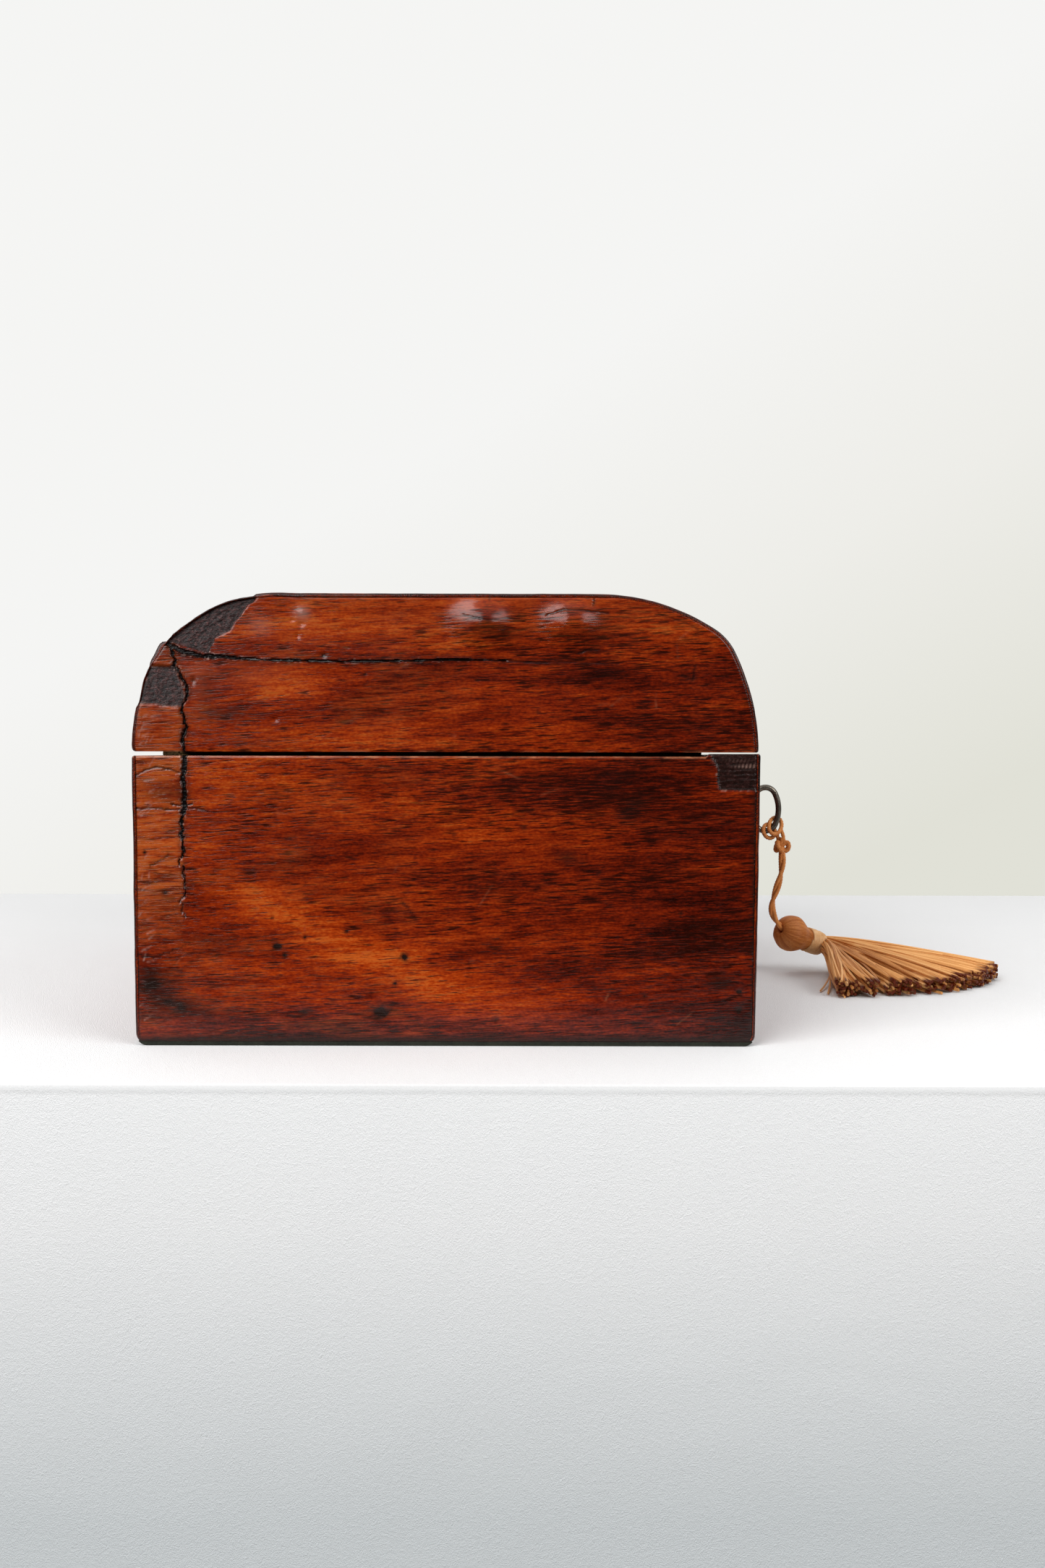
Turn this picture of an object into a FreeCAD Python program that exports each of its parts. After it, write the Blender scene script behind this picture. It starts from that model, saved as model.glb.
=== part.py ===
import FreeCAD, Part
import math
import os

from FreeCAD import Vector

# Dome-topped wooden tea caddy with a key and tassel in its front lock.
# Frame: millimetres, +Z up, origin at the middle of the flat base, front face towards -Y,
# length along X. The carcass is butt-jointed boards: the front and back boards run the full
# length and the end boards fit between them. Everything outside is veneered.

# ---------------------------------------------------------------- driving dimensions
LENGTH = 230.0
RIM_DEPTH = 150.0
BASE_DEPTH = 147.6
BODY_HEIGHT = 69.0
CROWN_HEIGHT = 107.8
LID_GAP = 1.0
WALL = 12.7
VENEER = 0.8
BAIZE = 1.0
BOTTOM_BOARD = 8.0
BASE_EDGE_RADIUS = 3.0

# dome outline: flat crown, haunch arc, tight shoulder arc, side arc that ends upright at the rim
LID_HALF_DEPTH = 74.5
CROWN_HALF_FLAT = 36.0
HAUNCH_RADIUS = 51.0
SHOULDER_RADIUS = 13.3
SIDE_RADIUS = 54.0
CROWN_JOINT_Z = 92.7

LINING = 3.0
LINING_LIP = 4.5
LINING_EDGE_RADIUS = 1.2
LID_CLEARANCE = 0.5
DIVIDER = 4.0
FOIL = 0.4
REST_STRIP = 3.0
INNER_LID = 4.0
INNER_LID_CLEARANCE = 0.4
INNER_LID_TOP = 62.0
SEAT_GAP = 0.1
PAPER = 0.5

HINGE_LENGTH = 30.0
HINGE_OUTER_X = 64.0
HINGE_LEAF = 1.4
HINGE_LEAF_INNER_Y = 64.0
BARREL_RADIUS = 2.2
BARREL_OUT = 2.3
HINGE_PIN_RADIUS = 1.0
RUNNING_GAP = 0.06
KNUCKLE_GAP = 0.1
SWING_GAP = 0.2

KEYHOLE_Z = 52.3
KEY_STEM_RADIUS = 1.75
KEY_PIPE_RADIUS = 1.0
DRILL_PIN_RADIUS = 0.93
BIT_REACH = 5.8
BIT_THICK = 1.4
BOW_WIRE = 0.9
BOW_HALF_HEIGHT = 6.8
BOW_HALF_WIDTH = 4.1
BOW_END_RADIUS = 3.3
BOW_CENTRE_Y = -94.4
BOLT_THROW = 5.0

CORD_RADIUS = 1.25
HEAD_CENTRE = Vector(5.0, -104.0, 12.5)
HEAD_RADIUS = 5.85
NECK = Vector(11.0, -113.9, 8.6)
NECK_RADIUS = 3.3
SKIRT_LENGTH = 54.0
SKIRT_FROM_DEG = 175.0
SKIRT_TO_DEG = 262.0

# ---------------------------------------------------------------- derived places
HALF_LENGTH = LENGTH / 2
RIM_Y = RIM_DEPTH / 2
BASE_Y = BASE_DEPTH / 2
INNER_Y = RIM_Y - WALL
INNER_X = HALF_LENGTH - WALL
CARCASS_X = HALF_LENGTH - VENEER
LID_Z = BODY_HEIGHT + LID_GAP
FLOOR_Z = BAIZE + BOTTOM_BOARD
CELL_Y = INNER_Y - LINING
CELL_X = INNER_X - LINING
LIP_Z = BODY_HEIGHT + LINING_LIP
REST_Z = INNER_LID_TOP - INNER_LID
KNOB_X = (CELL_X + DIVIDER / 2) / 2
AXIS_Y = RIM_Y + BARREL_OUT
AXIS_Z = BODY_HEIGHT + LID_GAP / 2
LONG = HALF_LENGTH + 10
SIDES = (("left", -1), ("right", 1))


def export(name, shape):
    """Writes one sub-part, after checking that it is valid closed solids."""
    solids = shape.Solids
    if not solids or not all(s.isValid() and s.Volume > 0 for s in solids):
        raise RuntimeError(f"{name} is not a set of valid solids")
    kept = solids[0] if len(solids) == 1 else Part.makeCompound(solids)
    kept.exportStep(f"parts/{name}.step")
    print(f"{name:26s} solids {len(solids):2d}  volume {sum(s.Volume for s in solids):10.1f}")


def box(x0, x1, y0, y1, z0, z1):
    return Part.makeBox(x1 - x0, y1 - y0, z1 - z0, Vector(x0, y0, z0))


def rod(radius, start, end):
    """A round bar between two points."""
    along = end.sub(start)
    return Part.makeCylinder(radius, along.Length, start, along)


def face_of(edges):
    return Part.Face(Part.Wire(Part.__sortEdges__(edges)))


def prism(outline, x0, x1):
    """Extrudes a closed outline of (y, z) points along X."""
    points = [Vector(x0, y, z) for y, z in outline]
    edges = [Part.makeLine(a, b) for a, b in zip(points, points[1:] + points[:1])]
    return face_of(edges).extrude(Vector(x1 - x0, 0, 0))


def along_x(shape, *heights):
    """The edges of a shape that run along X at the given heights."""
    found = []
    for edge in shape.Edges:
        a, b = edge.Vertexes[0].Point, edge.Vertexes[-1].Point
        if abs(a.x - b.x) > 1 and any(abs(a.z - z) < 1e-4 and abs(b.z - z) < 1e-4 for z in heights):
            found.append(edge)
    return found


def wall_y(z):
    """Half the outside depth of the slightly tapered body at a height."""
    return BASE_Y + (RIM_Y - BASE_Y) * z / BODY_HEIGHT


# ---------------------------------------------------------------- fasteners
def screw(head, direction, head_radius, shank_radius, length, slot=True):
    """A slotted countersunk wood screw whose head is flush with the point it starts from."""
    cone_height = head_radius - shank_radius
    body = Part.makeCone(head_radius, shank_radius, cone_height, head, direction)
    tip = head + direction * (length - shank_radius)
    body = body.fuse(rod(shank_radius, head + direction * cone_height, tip))
    body = body.fuse(Part.makeCone(shank_radius, 0.2, shank_radius, tip, direction))
    if not slot:
        return body.removeSplitter()
    width, depth = 0.5, 0.45
    cutter = Part.makeBox(2.4 * head_radius, width, 2 * depth)
    cutter.translate(Vector(-1.2 * head_radius, -width / 2, -depth))
    cutter.Placement = FreeCAD.Placement(
        head, FreeCAD.Rotation(Vector(0, 0, 1), direction)
    ).multiply(cutter.Placement)
    return body.cut(cutter).removeSplitter()


def screws(places, direction, head_radius, shank_radius, length):
    """Returns the slotted screws and the plain volume that they fill, for their holes."""
    made = [screw(p, direction, head_radius, shank_radius, length) for p in places]
    filled = [screw(p, direction, head_radius, shank_radius, length, slot=False) for p in places]
    return Part.makeCompound(made), Part.makeCompound(filled)


# ---------------------------------------------------------------- dome outline
def meet(a, radius_a, b, radius_b):
    """Where two circles in the (y, z) plane meet, on the side further from the middle."""
    dy, dz = b[0] - a[0], b[1] - a[1]
    apart = math.hypot(dy, dz)
    along = (radius_a**2 - radius_b**2 + apart**2) / (2 * apart)
    off = math.sqrt(radius_a**2 - along**2)
    points = [
        (a[0] + (along * dy + s * off * dz) / apart, a[1] + (along * dz - s * off * dy) / apart)
        for s in (1, -1)
    ]
    return max(points)


HAUNCH = (CROWN_HALF_FLAT, CROWN_HEIGHT - HAUNCH_RADIUS)
SIDE = (LID_HALF_DEPTH - SIDE_RADIUS, LID_Z)
SHOULDER = meet(HAUNCH, HAUNCH_RADIUS - SHOULDER_RADIUS, SIDE, SIDE_RADIUS - SHOULDER_RADIUS)


def bearing(a, b):
    return math.atan2(b[1] - a[1], b[0] - a[0])


def dome_arcs(inset):
    """Centre, radius and the two angles of each arc of the back half, from the rim up."""
    low = bearing(SIDE, SHOULDER)
    high = bearing(HAUNCH, SHOULDER)
    return (
        (SIDE, SIDE_RADIUS - inset, 0.0, low),
        (SHOULDER, SHOULDER_RADIUS - inset, low, high),
        (HAUNCH, HAUNCH_RADIUS - inset, high, math.pi / 2),
    )


def dome(inset, x0, x1):
    """The lid's outside shape, moved inwards by inset, as a solid block down to the rim."""

    def point(centre, radius, angle, side):
        y, z = centre[0] + radius * math.cos(angle), centre[1] + radius * math.sin(angle)
        return Vector(x0, side * y, z)

    edges = []
    for side in (1, -1):
        for centre, radius, a, b in dome_arcs(inset):
            ends = [point(centre, radius, t, side) for t in (a, (a + b) / 2, b)]
            edges.append(Part.Arc(*ends).toShape())
    top = CROWN_HEIGHT - inset
    rim = LID_HALF_DEPTH - inset
    edges.append(Part.makeLine(Vector(x0, -CROWN_HALF_FLAT, top), Vector(x0, CROWN_HALF_FLAT, top)))
    edges.append(Part.makeLine(Vector(x0, -rim, LID_Z), Vector(x0, rim, LID_Z)))
    return face_of(edges).extrude(Vector(x1 - x0, 0, 0))


# ---------------------------------------------------------------- hinges
def knuckles(x0):
    """The three knuckle spans of a hinge that starts at x0: body, lid, body."""
    third = HINGE_LENGTH / 3
    return [(x0 + i * third, x0 + (i + 1) * third - KNUCKLE_GAP) for i in range(3)]


def barrel(radius, x0, x1):
    return rod(radius, Vector(x0, AXIS_Y, AXIS_Z), Vector(x1, AXIS_Y, AXIS_Z))


def hinge_leaf(x0, on_lid):
    """One leaf with its share of the knuckles. The body leaf has the outer two."""
    low = AXIS_Z + SEAT_GAP if on_lid else AXIS_Z - SEAT_GAP - HINGE_LEAF
    leaf = box(x0, x0 + HINGE_LENGTH - KNUCKLE_GAP, HINGE_LEAF_INNER_Y, AXIS_Y, low, low + HINGE_LEAF)
    for i, (a, b) in enumerate(knuckles(x0)):
        if (i == 1) == on_lid:
            leaf = leaf.fuse(barrel(BARREL_RADIUS, a, b))
        else:
            leaf = leaf.cut(barrel(BARREL_RADIUS + SWING_GAP, a - KNUCKLE_GAP, b + KNUCKLE_GAP))
    bore = HINGE_PIN_RADIUS + (RUNNING_GAP if on_lid else 0)
    return leaf.cut(barrel(bore, x0 - 1, x0 + HINGE_LENGTH + 1)).removeSplitter()


def hinge_mortise(x0, on_lid):
    """The recess that a leaf lies in, open towards the back."""
    low = AXIS_Z + SEAT_GAP if on_lid else AXIS_Z - SEAT_GAP - HINGE_LEAF
    return box(x0, x0 + HINGE_LENGTH, HINGE_LEAF_INNER_Y, RIM_Y + 1, low, low + HINGE_LEAF)


HINGE_STARTS = {"left": -HINGE_OUTER_X, "right": HINGE_OUTER_X - HINGE_LENGTH}


def hinge_screw_places(z):
    inset, y = 4.5, 69.0
    spans = [(x, x + HINGE_LENGTH) for x in HINGE_STARTS.values()]
    return [Vector(x, y, z) for a, b in spans for x in (a + inset, (a + b) / 2, b - inset)]


def make_hinges():
    """Exports the hinges and their screws, and returns what to cut from the boards."""
    down, up = Vector(0, 0, -1), Vector(0, 0, 1)
    body_screws, body_holes = screws(hinge_screw_places(AXIS_Z - SEAT_GAP), down, 1.7, 0.95, 9.0)
    lid_screws, lid_holes = screws(hinge_screw_places(AXIS_Z + SEAT_GAP), up, 1.7, 0.95, 9.0)
    body_cut, lid_cut = [body_holes], [lid_holes]
    for side, x0 in HINGE_STARTS.items():
        export(f"{side}_hinge_body_leaf", hinge_leaf(x0, False).cut(body_holes))
        export(f"{side}_hinge_lid_leaf", hinge_leaf(x0, True).cut(lid_holes))
        export(f"{side}_hinge_pin", barrel(HINGE_PIN_RADIUS, x0, x0 + HINGE_LENGTH - KNUCKLE_GAP))
        body_cut.append(hinge_mortise(x0, False))
        lid_cut.append(hinge_mortise(x0, True))
    export("hinge_screws_body", body_screws)
    export("hinge_screws_lid", lid_screws)
    return Part.makeCompound(body_cut), Part.makeCompound(lid_cut)


# ---------------------------------------------------------------- lock and key
PLATE_HALF = 19.0
CASE_HALF = 15.0
PLATE_BOTTOM = 43.0
CASE_BOTTOM = 44.5
PLATE_FRONT_Y = -INNER_Y - 1.2
CASE_FRONT_Y = -71.8
SELVEDGE_FRONT_Y = -72.4
SELVEDGE_Z = BODY_HEIGHT - 1.2
CASE_WALL = 1.0
STAPLES = ((-5.6, -4.2), (7.4, 8.8))
STAPLE_Y = (-70.0, -64.4)
STAPLE_BOTTOM = 61.2
BOLT_Y = (-68.2, -66.2)
LINK_HALF = 16.0
LINK_Y = (-72.4, -63.6)
LINK_THICK = 1.2


def keyhole(y0, y1, radius, slot_width, foot_z):
    """A keyhole-shaped bar through the front, with its slot below the round part."""
    round_part = rod(radius, Vector(0, y0, KEYHOLE_Z), Vector(0, y1, KEYHOLE_Z))
    slot = box(-slot_width / 2, slot_width / 2, y0, y1, foot_z, KEYHOLE_Z)
    return round_part.fuse(slot).removeSplitter()


def make_lock():
    """Exports the lock and returns the mortise to cut from the front board."""
    inside, forwards = -INNER_Y, Vector(0, -1, 0)
    places = [Vector(x, inside, z) for x in (-17.0, 17.0) for z in (46.5, 64.0)]
    plate_screws, holes = screws(places, forwards, 1.5, 0.9, 7.0)
    plate = box(-PLATE_HALF, PLATE_HALF, PLATE_FRONT_Y, inside, PLATE_BOTTOM, BODY_HEIGHT)
    plate = plate.fuse(box(-PLATE_HALF, PLATE_HALF, SELVEDGE_FRONT_Y, inside, SELVEDGE_Z, BODY_HEIGHT))
    for a, b in STAPLES:
        slot = box(a - 0.4, b + 0.4, STAPLE_Y[0] - 0.6, STAPLE_Y[1] + 0.5, SELVEDGE_Z - 1, BODY_HEIGHT + 1)
        plate = plate.cut(slot)
    export("lock_plate", plate.cut(holes).removeSplitter())
    export("lock_screws", plate_screws)

    case = box(-CASE_HALF, CASE_HALF, CASE_FRONT_Y, PLATE_FRONT_Y, CASE_BOTTOM, SELVEDGE_Z)
    hollow = box(
        -CASE_HALF + CASE_WALL,
        CASE_HALF - CASE_WALL,
        CASE_FRONT_Y + CASE_WALL,
        PLATE_FRONT_Y + 1,
        CASE_BOTTOM + CASE_WALL,
        SELVEDGE_Z + 1,
    )
    hole = keyhole(CASE_FRONT_Y - 1, CASE_FRONT_Y + 2, KEY_STEM_RADIUS + 0.15, 2.0, KEYHOLE_Z - BIT_REACH - 0.3)
    export("lock_case", case.cut(hollow).cut(hole))
    pin_tip = Vector(0, -70.3, KEYHOLE_Z)
    export("lock_pin", rod(DRILL_PIN_RADIUS, Vector(0, PLATE_FRONT_Y, KEYHOLE_Z), pin_tip))
    export("lock_bolt", bolt())
    export("lock_spring", bolt_spring())

    mortise = [
        box(-PLATE_HALF, PLATE_HALF, PLATE_FRONT_Y, inside, PLATE_BOTTOM, BODY_HEIGHT),
        box(-PLATE_HALF, PLATE_HALF, SELVEDGE_FRONT_Y, inside, SELVEDGE_Z, BODY_HEIGHT),
        box(-CASE_HALF, CASE_HALF, CASE_FRONT_Y, inside, CASE_BOTTOM, BODY_HEIGHT),
        holes,
    ]
    return Part.makeCompound(mortise)


def bolt():
    """The sliding bolt, withdrawn: a bar with a wide talon notch and one tooth for each staple."""
    bar_z = (56.5, 60.8)
    tooth_z = (63.1, 65.6)
    post, short = 2.5, 0.8
    tooth = BOLT_THROW - short / 2
    y0, y1 = BOLT_Y
    shape = box(-13.5, 8.0, y0, y1, *bar_z)
    shape = shape.cut(box(-9.0, 4.0, y0 - 1, y1 + 1, bar_z[0] - 1, 58.6))
    for a, _ in STAPLES:
        root = a - short - tooth
        shape = shape.fuse(box(root - post, root, y0, y1, bar_z[1] - 0.5, tooth_z[1]))
        shape = shape.fuse(box(root, root + tooth, y0, y1, *tooth_z))
    return shape.removeSplitter()


def bolt_spring():
    """A bowed leaf spring between the bolt and the plate, which keeps the bolt where it is put."""
    half, thick, z0, z1 = 12.0, 0.3, 59.0, 60.5
    crest_y, end_y = -66.1, PLATE_FRONT_Y - 0.02

    def bow(offset):
        return Part.Arc(
            Vector(-half, end_y - offset, z0),
            Vector(0, crest_y + thick - offset, z0),
            Vector(half, end_y - offset, z0),
        ).toShape()

    near, far = bow(0), bow(thick)
    ends = [
        Part.makeLine(near.Vertexes[i].Point, far.Vertexes[i].Point)
        for i in (0, 1)
    ]
    return face_of([near, far, *ends]).extrude(Vector(0, 0, z1 - z0))


def make_link_plate():
    """Exports the lid's half of the lock and returns what to cut from the lid's front rail."""
    up = Vector(0, 0, 1)
    places = [Vector(x, -68.0, LID_Z) for x in (-13.0, 13.0)]
    plate_screws, holes = screws(places, up, 1.5, 0.9, 8.0)
    plate = box(-LINK_HALF, LINK_HALF, *LINK_Y, LID_Z, LID_Z + LINK_THICK)
    for a, b in STAPLES:
        staple = box(a, b, *STAPLE_Y, STAPLE_BOTTOM, LID_Z + LINK_THICK / 2)
        eye = box(a - 1, b + 1, BOLT_Y[0] - 0.4, BOLT_Y[1] + 0.4, 62.8, 66.0)
        plate = plate.fuse(staple.cut(eye))
    export("link_plate", plate.cut(holes).removeSplitter())
    export("link_plate_screws", plate_screws)
    recess = box(-LINK_HALF, LINK_HALF, *LINK_Y, LID_Z, LID_Z + LINK_THICK)
    return Part.makeCompound([recess, holes])


def make_escutcheon():
    """Exports the inlaid keyhole surround and returns its outline and the keyhole, to be cut."""
    face_y = -wall_y(KEYHOLE_Z)
    depth, border = 2.0, 1.1
    radius, slot, foot = KEY_STEM_RADIUS + 0.35, 2.2, KEYHOLE_Z - BIT_REACH - 0.4
    outer = keyhole(face_y, face_y + depth, radius + border, slot + 2 * border, foot - border)
    hole = keyhole(face_y - 1, -INNER_Y, radius, slot, foot)
    export("escutcheon", outer.cut(hole))
    return outer.fuse(hole)


def bow_wire(radius):
    """The key's oval bow, swept along an outline of four tangent arcs in the plane X = 0."""
    end_centre = BOW_HALF_HEIGHT - BOW_END_RADIUS
    slack = BOW_HALF_WIDTH - BOW_END_RADIUS
    side_offset = (end_centre**2 - slack**2) / (2 * slack)
    side_radius = BOW_HALF_WIDTH + side_offset
    turn = math.atan2(end_centre, side_offset)

    def place(y, z):
        return Vector(0, BOW_CENTRE_Y + y, KEYHOLE_Z + z)

    def arc(cy, cz, radius_, a, b):
        angles = (a, (a + b) / 2, b)
        return Part.Arc(*[place(cy + radius_ * math.cos(t), cz + radius_ * math.sin(t)) for t in angles])

    arcs = [
        arc(-side_offset, 0, side_radius, -turn, turn),
        arc(0, end_centre, BOW_END_RADIUS, turn, math.pi - turn),
        arc(side_offset, 0, side_radius, math.pi - turn, math.pi + turn),
        arc(0, -end_centre, BOW_END_RADIUS, math.pi + turn, 2 * math.pi - turn),
    ]
    path = Part.Wire([a.toShape() for a in arcs])
    start = place(-side_offset + side_radius * math.cos(turn), -side_radius * math.sin(turn))
    tangent = Vector(0, math.sin(turn), math.cos(turn))
    profile = Part.Wire([Part.makeCircle(radius, start, tangent)])
    return path.makePipeShell([profile], True, True)


def make_key():
    """A pipe key: oval bow, collared stem bored for the drill pin, and a notched bit."""
    tip_y, neck_y = -64.6, BOW_CENTRE_Y + BOW_HALF_WIDTH
    stem = rod(KEY_STEM_RADIUS, Vector(0, neck_y, KEYHOLE_Z), Vector(0, tip_y, KEYHOLE_Z))
    for y, radius, width in ((-88.6, 2.5, 1.2), (-86.6, 2.2, 0.8)):
        stem = stem.fuse(rod(radius, Vector(0, y, KEYHOLE_Z), Vector(0, y + width, KEYHOLE_Z)))
    bit = box(-BIT_THICK / 2, BIT_THICK / 2, -69.8, -65.2, KEYHOLE_Z - BIT_REACH, KEYHOLE_Z - 1.2)
    bit = bit.cut(box(-2, 2, -68.0, -67.2, KEYHOLE_Z - BIT_REACH - 1, KEYHOLE_Z - BIT_REACH + 1.8))
    bow = bow_wire(BOW_WIRE)
    key = stem.fuse(bit).fuse(bow)
    key = key.cut(rod(KEY_PIPE_RADIUS, Vector(0, tip_y + 1, KEYHOLE_Z), Vector(0, -76.0, KEYHOLE_Z)))
    export("key", key.removeSplitter())
    return bow


# ---------------------------------------------------------------- cord and tassel
# The doubled cord's route, from its knot under the bow, down in front of the lock, and on
# through the tassel's head to the binding that it is tied into.
CORD_ROUTE = (
    (0.0, -99.1, 43.4),
    (0.1, -99.9, 37.6),
    (0.3, -99.5, 32.0),
    (0.7, -97.9, 26.6),
    (1.0, -96.4, 22.0),
    (1.5, -97.4, 17.8),
    (2.9, -100.2, 14.6),
    (4.6, -104.2, 13.2),
    (7.0, -107.6, 11.5),
    (9.5, -111.4, 9.8),
)


def rounded_path(points, share=0.45):
    """Straight runs joined by tangent arcs as large as the runs allow. Returns a wire and radii."""
    route = [Vector(*p) for p in points]
    edges, radii, at = [], [], route[0]
    for before, corner, after in zip(route, route[1:], route[2:]):
        a, b = before.sub(corner), after.sub(corner)
        half = (math.pi - a.getAngle(b)) / 2
        back = share * min(a.Length, b.Length)
        radius = back / math.tan(half)
        a.normalize()
        b.normalize()
        start, end = corner + a * back, corner + b * back
        middle = a + b
        middle.normalize()
        top = corner + middle * (radius / math.cos(half) - radius)
        edges += [Part.makeLine(at, start), Part.Arc(start, top, end).toShape()]
        radii.append(radius)
        at = end
    edges.append(Part.makeLine(at, route[-1]))
    return Part.Wire(edges), radii


def make_tassel(bow):
    """Exports the hitch on the bow, the knot, the doubled cord and the tassel."""
    path, radii = rounded_path(CORD_ROUTE)
    first = Vector(*CORD_ROUTE[0])
    heading = Vector(*CORD_ROUTE[1]).sub(first)
    cord = path.makePipeShell([Part.Wire([Part.makeCircle(CORD_RADIUS, first, heading)])], True, False)
    print("cord length", round(path.Length, 1), "volume ratio",
          round(cord.Volume / (math.pi * CORD_RADIUS**2 * path.Length), 4),
          "radii", [round(r, 1) for r in radii])
    export("tassel_cord", cord)
    export("cord_knot", Part.makeSphere(2.7, Vector(0, -99.5, 40.2)).cut(cord))
    hitch_y = BOW_CENTRE_Y - BOW_HALF_WIDTH * math.cos(math.radians(42))
    hitch_z = KEYHOLE_Z - BOW_HALF_HEIGHT * math.sin(math.radians(52))
    export("cord_hitch", Part.makeSphere(2.6, Vector(0, hitch_y, hitch_z)).cut(bow))

    axis = NECK.sub(HEAD_CENTRE)
    axis.normalize()
    head = Part.makeSphere(HEAD_RADIUS, HEAD_CENTRE)
    binding = rod(NECK_RADIUS, HEAD_CENTRE + axis * 4.0, NECK)
    export("tassel_head", head.cut(cord))
    export("tassel_binding", binding.cut(head).cut(cord))
    export("tassel_skirt", tassel_skirt().cut(binding).cut(head).cut(cord))


def tassel_skirt():
    """The fanned fringe: a thin wedge swept about the neck, resting on the table."""
    profile = (
        (0.0, NECK.z - NECK_RADIUS),
        (36.0, 0.0),
        (SKIRT_LENGTH, 0.0),
        (SKIRT_LENGTH, 5.0),
        (26.0, 9.4),
        (0.0, NECK.z + NECK_RADIUS),
    )
    points = [Vector(NECK.x + r, NECK.y, z) for r, z in profile]
    edges = [Part.makeLine(a, b) for a, b in zip(points, points[1:] + points[:1])]
    fan = face_of(edges).revolve(Vector(NECK.x, NECK.y, 0), Vector(0, 0, 1), SKIRT_TO_DEG - SKIRT_FROM_DEG)
    fan.rotate(Vector(NECK.x, NECK.y, 0), Vector(0, 0, 1), SKIRT_FROM_DEG)
    return fan


# ---------------------------------------------------------------- body
def make_body(hinge_cut, lock_mortise, keyhole_cut):
    rough = prism([(-wall_y(0), 0), (-RIM_Y, BODY_HEIGHT), (RIM_Y, BODY_HEIGHT), (wall_y(0), 0)],
                  -HALF_LENGTH, HALF_LENGTH)
    block = rough.makeFillet(BASE_EDGE_RADIUS, along_x(rough, 0.0))
    foot_y = wall_y(BAIZE)

    def side(y0, foot0, y1, foot1, x_end):
        """A front or back layer between two tapering planes, trimmed to the rounded block."""
        outline = [(y0, BODY_HEIGHT), (y1, BODY_HEIGHT), (foot1, BAIZE), (foot0, BAIZE)]
        return prism(outline, -x_end, x_end).common(block)

    front_veneer = side(-RIM_Y, -foot_y, -RIM_Y + VENEER, -foot_y + VENEER, HALF_LENGTH)
    back_veneer = side(RIM_Y - VENEER, foot_y - VENEER, RIM_Y, foot_y, HALF_LENGTH)
    front_board = side(-RIM_Y + VENEER, -foot_y + VENEER, -INNER_Y, -INNER_Y, CARCASS_X)
    back_board = side(INNER_Y, INNER_Y, RIM_Y - VENEER, foot_y - VENEER, CARCASS_X)
    export("front_veneer", front_veneer.cut(keyhole_cut))
    export("back_veneer", back_veneer.cut(hinge_cut))
    export("front_board", front_board.cut(lock_mortise).cut(keyhole_cut))
    export("back_board", back_board.cut(hinge_cut))
    for name, s in SIDES:
        inner, outer, skin = sorted((s * INNER_X, s * CARCASS_X)), s * CARCASS_X, s * HALF_LENGTH
        export(f"{name}_end_board", box(*inner, -INNER_Y, INNER_Y, BAIZE, BODY_HEIGHT))
        outline = [
            (-RIM_Y + VENEER, BODY_HEIGHT),
            (RIM_Y - VENEER, BODY_HEIGHT),
            (foot_y - VENEER, BAIZE),
            (-foot_y + VENEER, BAIZE),
        ]
        export(f"{name}_end_veneer", prism(outline, *sorted((outer, skin))).common(block))
    export("bottom_board", box(-INNER_X, INNER_X, -INNER_Y, INNER_Y, BAIZE, FLOOR_Z))
    export("base_baize", block.common(box(-LONG, LONG, -LONG, LONG, 0, BAIZE)))


def make_interior():
    """The lining boards that stand up as a lip, the divider, the foil trays and the inner lids."""
    long_lining = box(-INNER_X, INNER_X, -INNER_Y, -CELL_Y, FLOOR_Z, LIP_Z)
    long_lining = long_lining.makeFillet(LINING_EDGE_RADIUS, along_x(long_lining, LIP_Z))
    export("front_lining", long_lining)
    export("back_lining", long_lining.mirror(Vector(), Vector(0, 1, 0)))
    export("compartment_divider", box(-DIVIDER / 2, DIVIDER / 2, -CELL_Y, CELL_Y, FLOOR_Z, INNER_LID_TOP))
    for name, s in SIDES:
        wall = sorted((s * CELL_X, s * INNER_X))
        export(f"{name}_lining", box(*wall, -CELL_Y, CELL_Y, FLOOR_Z, LIP_Z - 0.4))
        cell = sorted((s * DIVIDER / 2, s * CELL_X))
        foil_top = REST_Z - REST_STRIP
        tray = box(*cell, -CELL_Y, CELL_Y, FLOOR_Z, foil_top)
        inside = box(cell[0] + FOIL, cell[1] - FOIL, -CELL_Y + FOIL, CELL_Y - FOIL, FLOOR_Z + FOIL, foil_top + 1)
        export(f"{name}_foil_lining", tray.cut(inside))
        strips = [
            box(*cell, *sorted((side * CELL_Y, side * (CELL_Y - REST_STRIP))), foil_top, REST_Z)
            for side in (-1, 1)
        ]
        export(f"{name}_lid_rests", Part.makeCompound(strips))
        make_inner_lid(name, s, cell)


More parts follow.
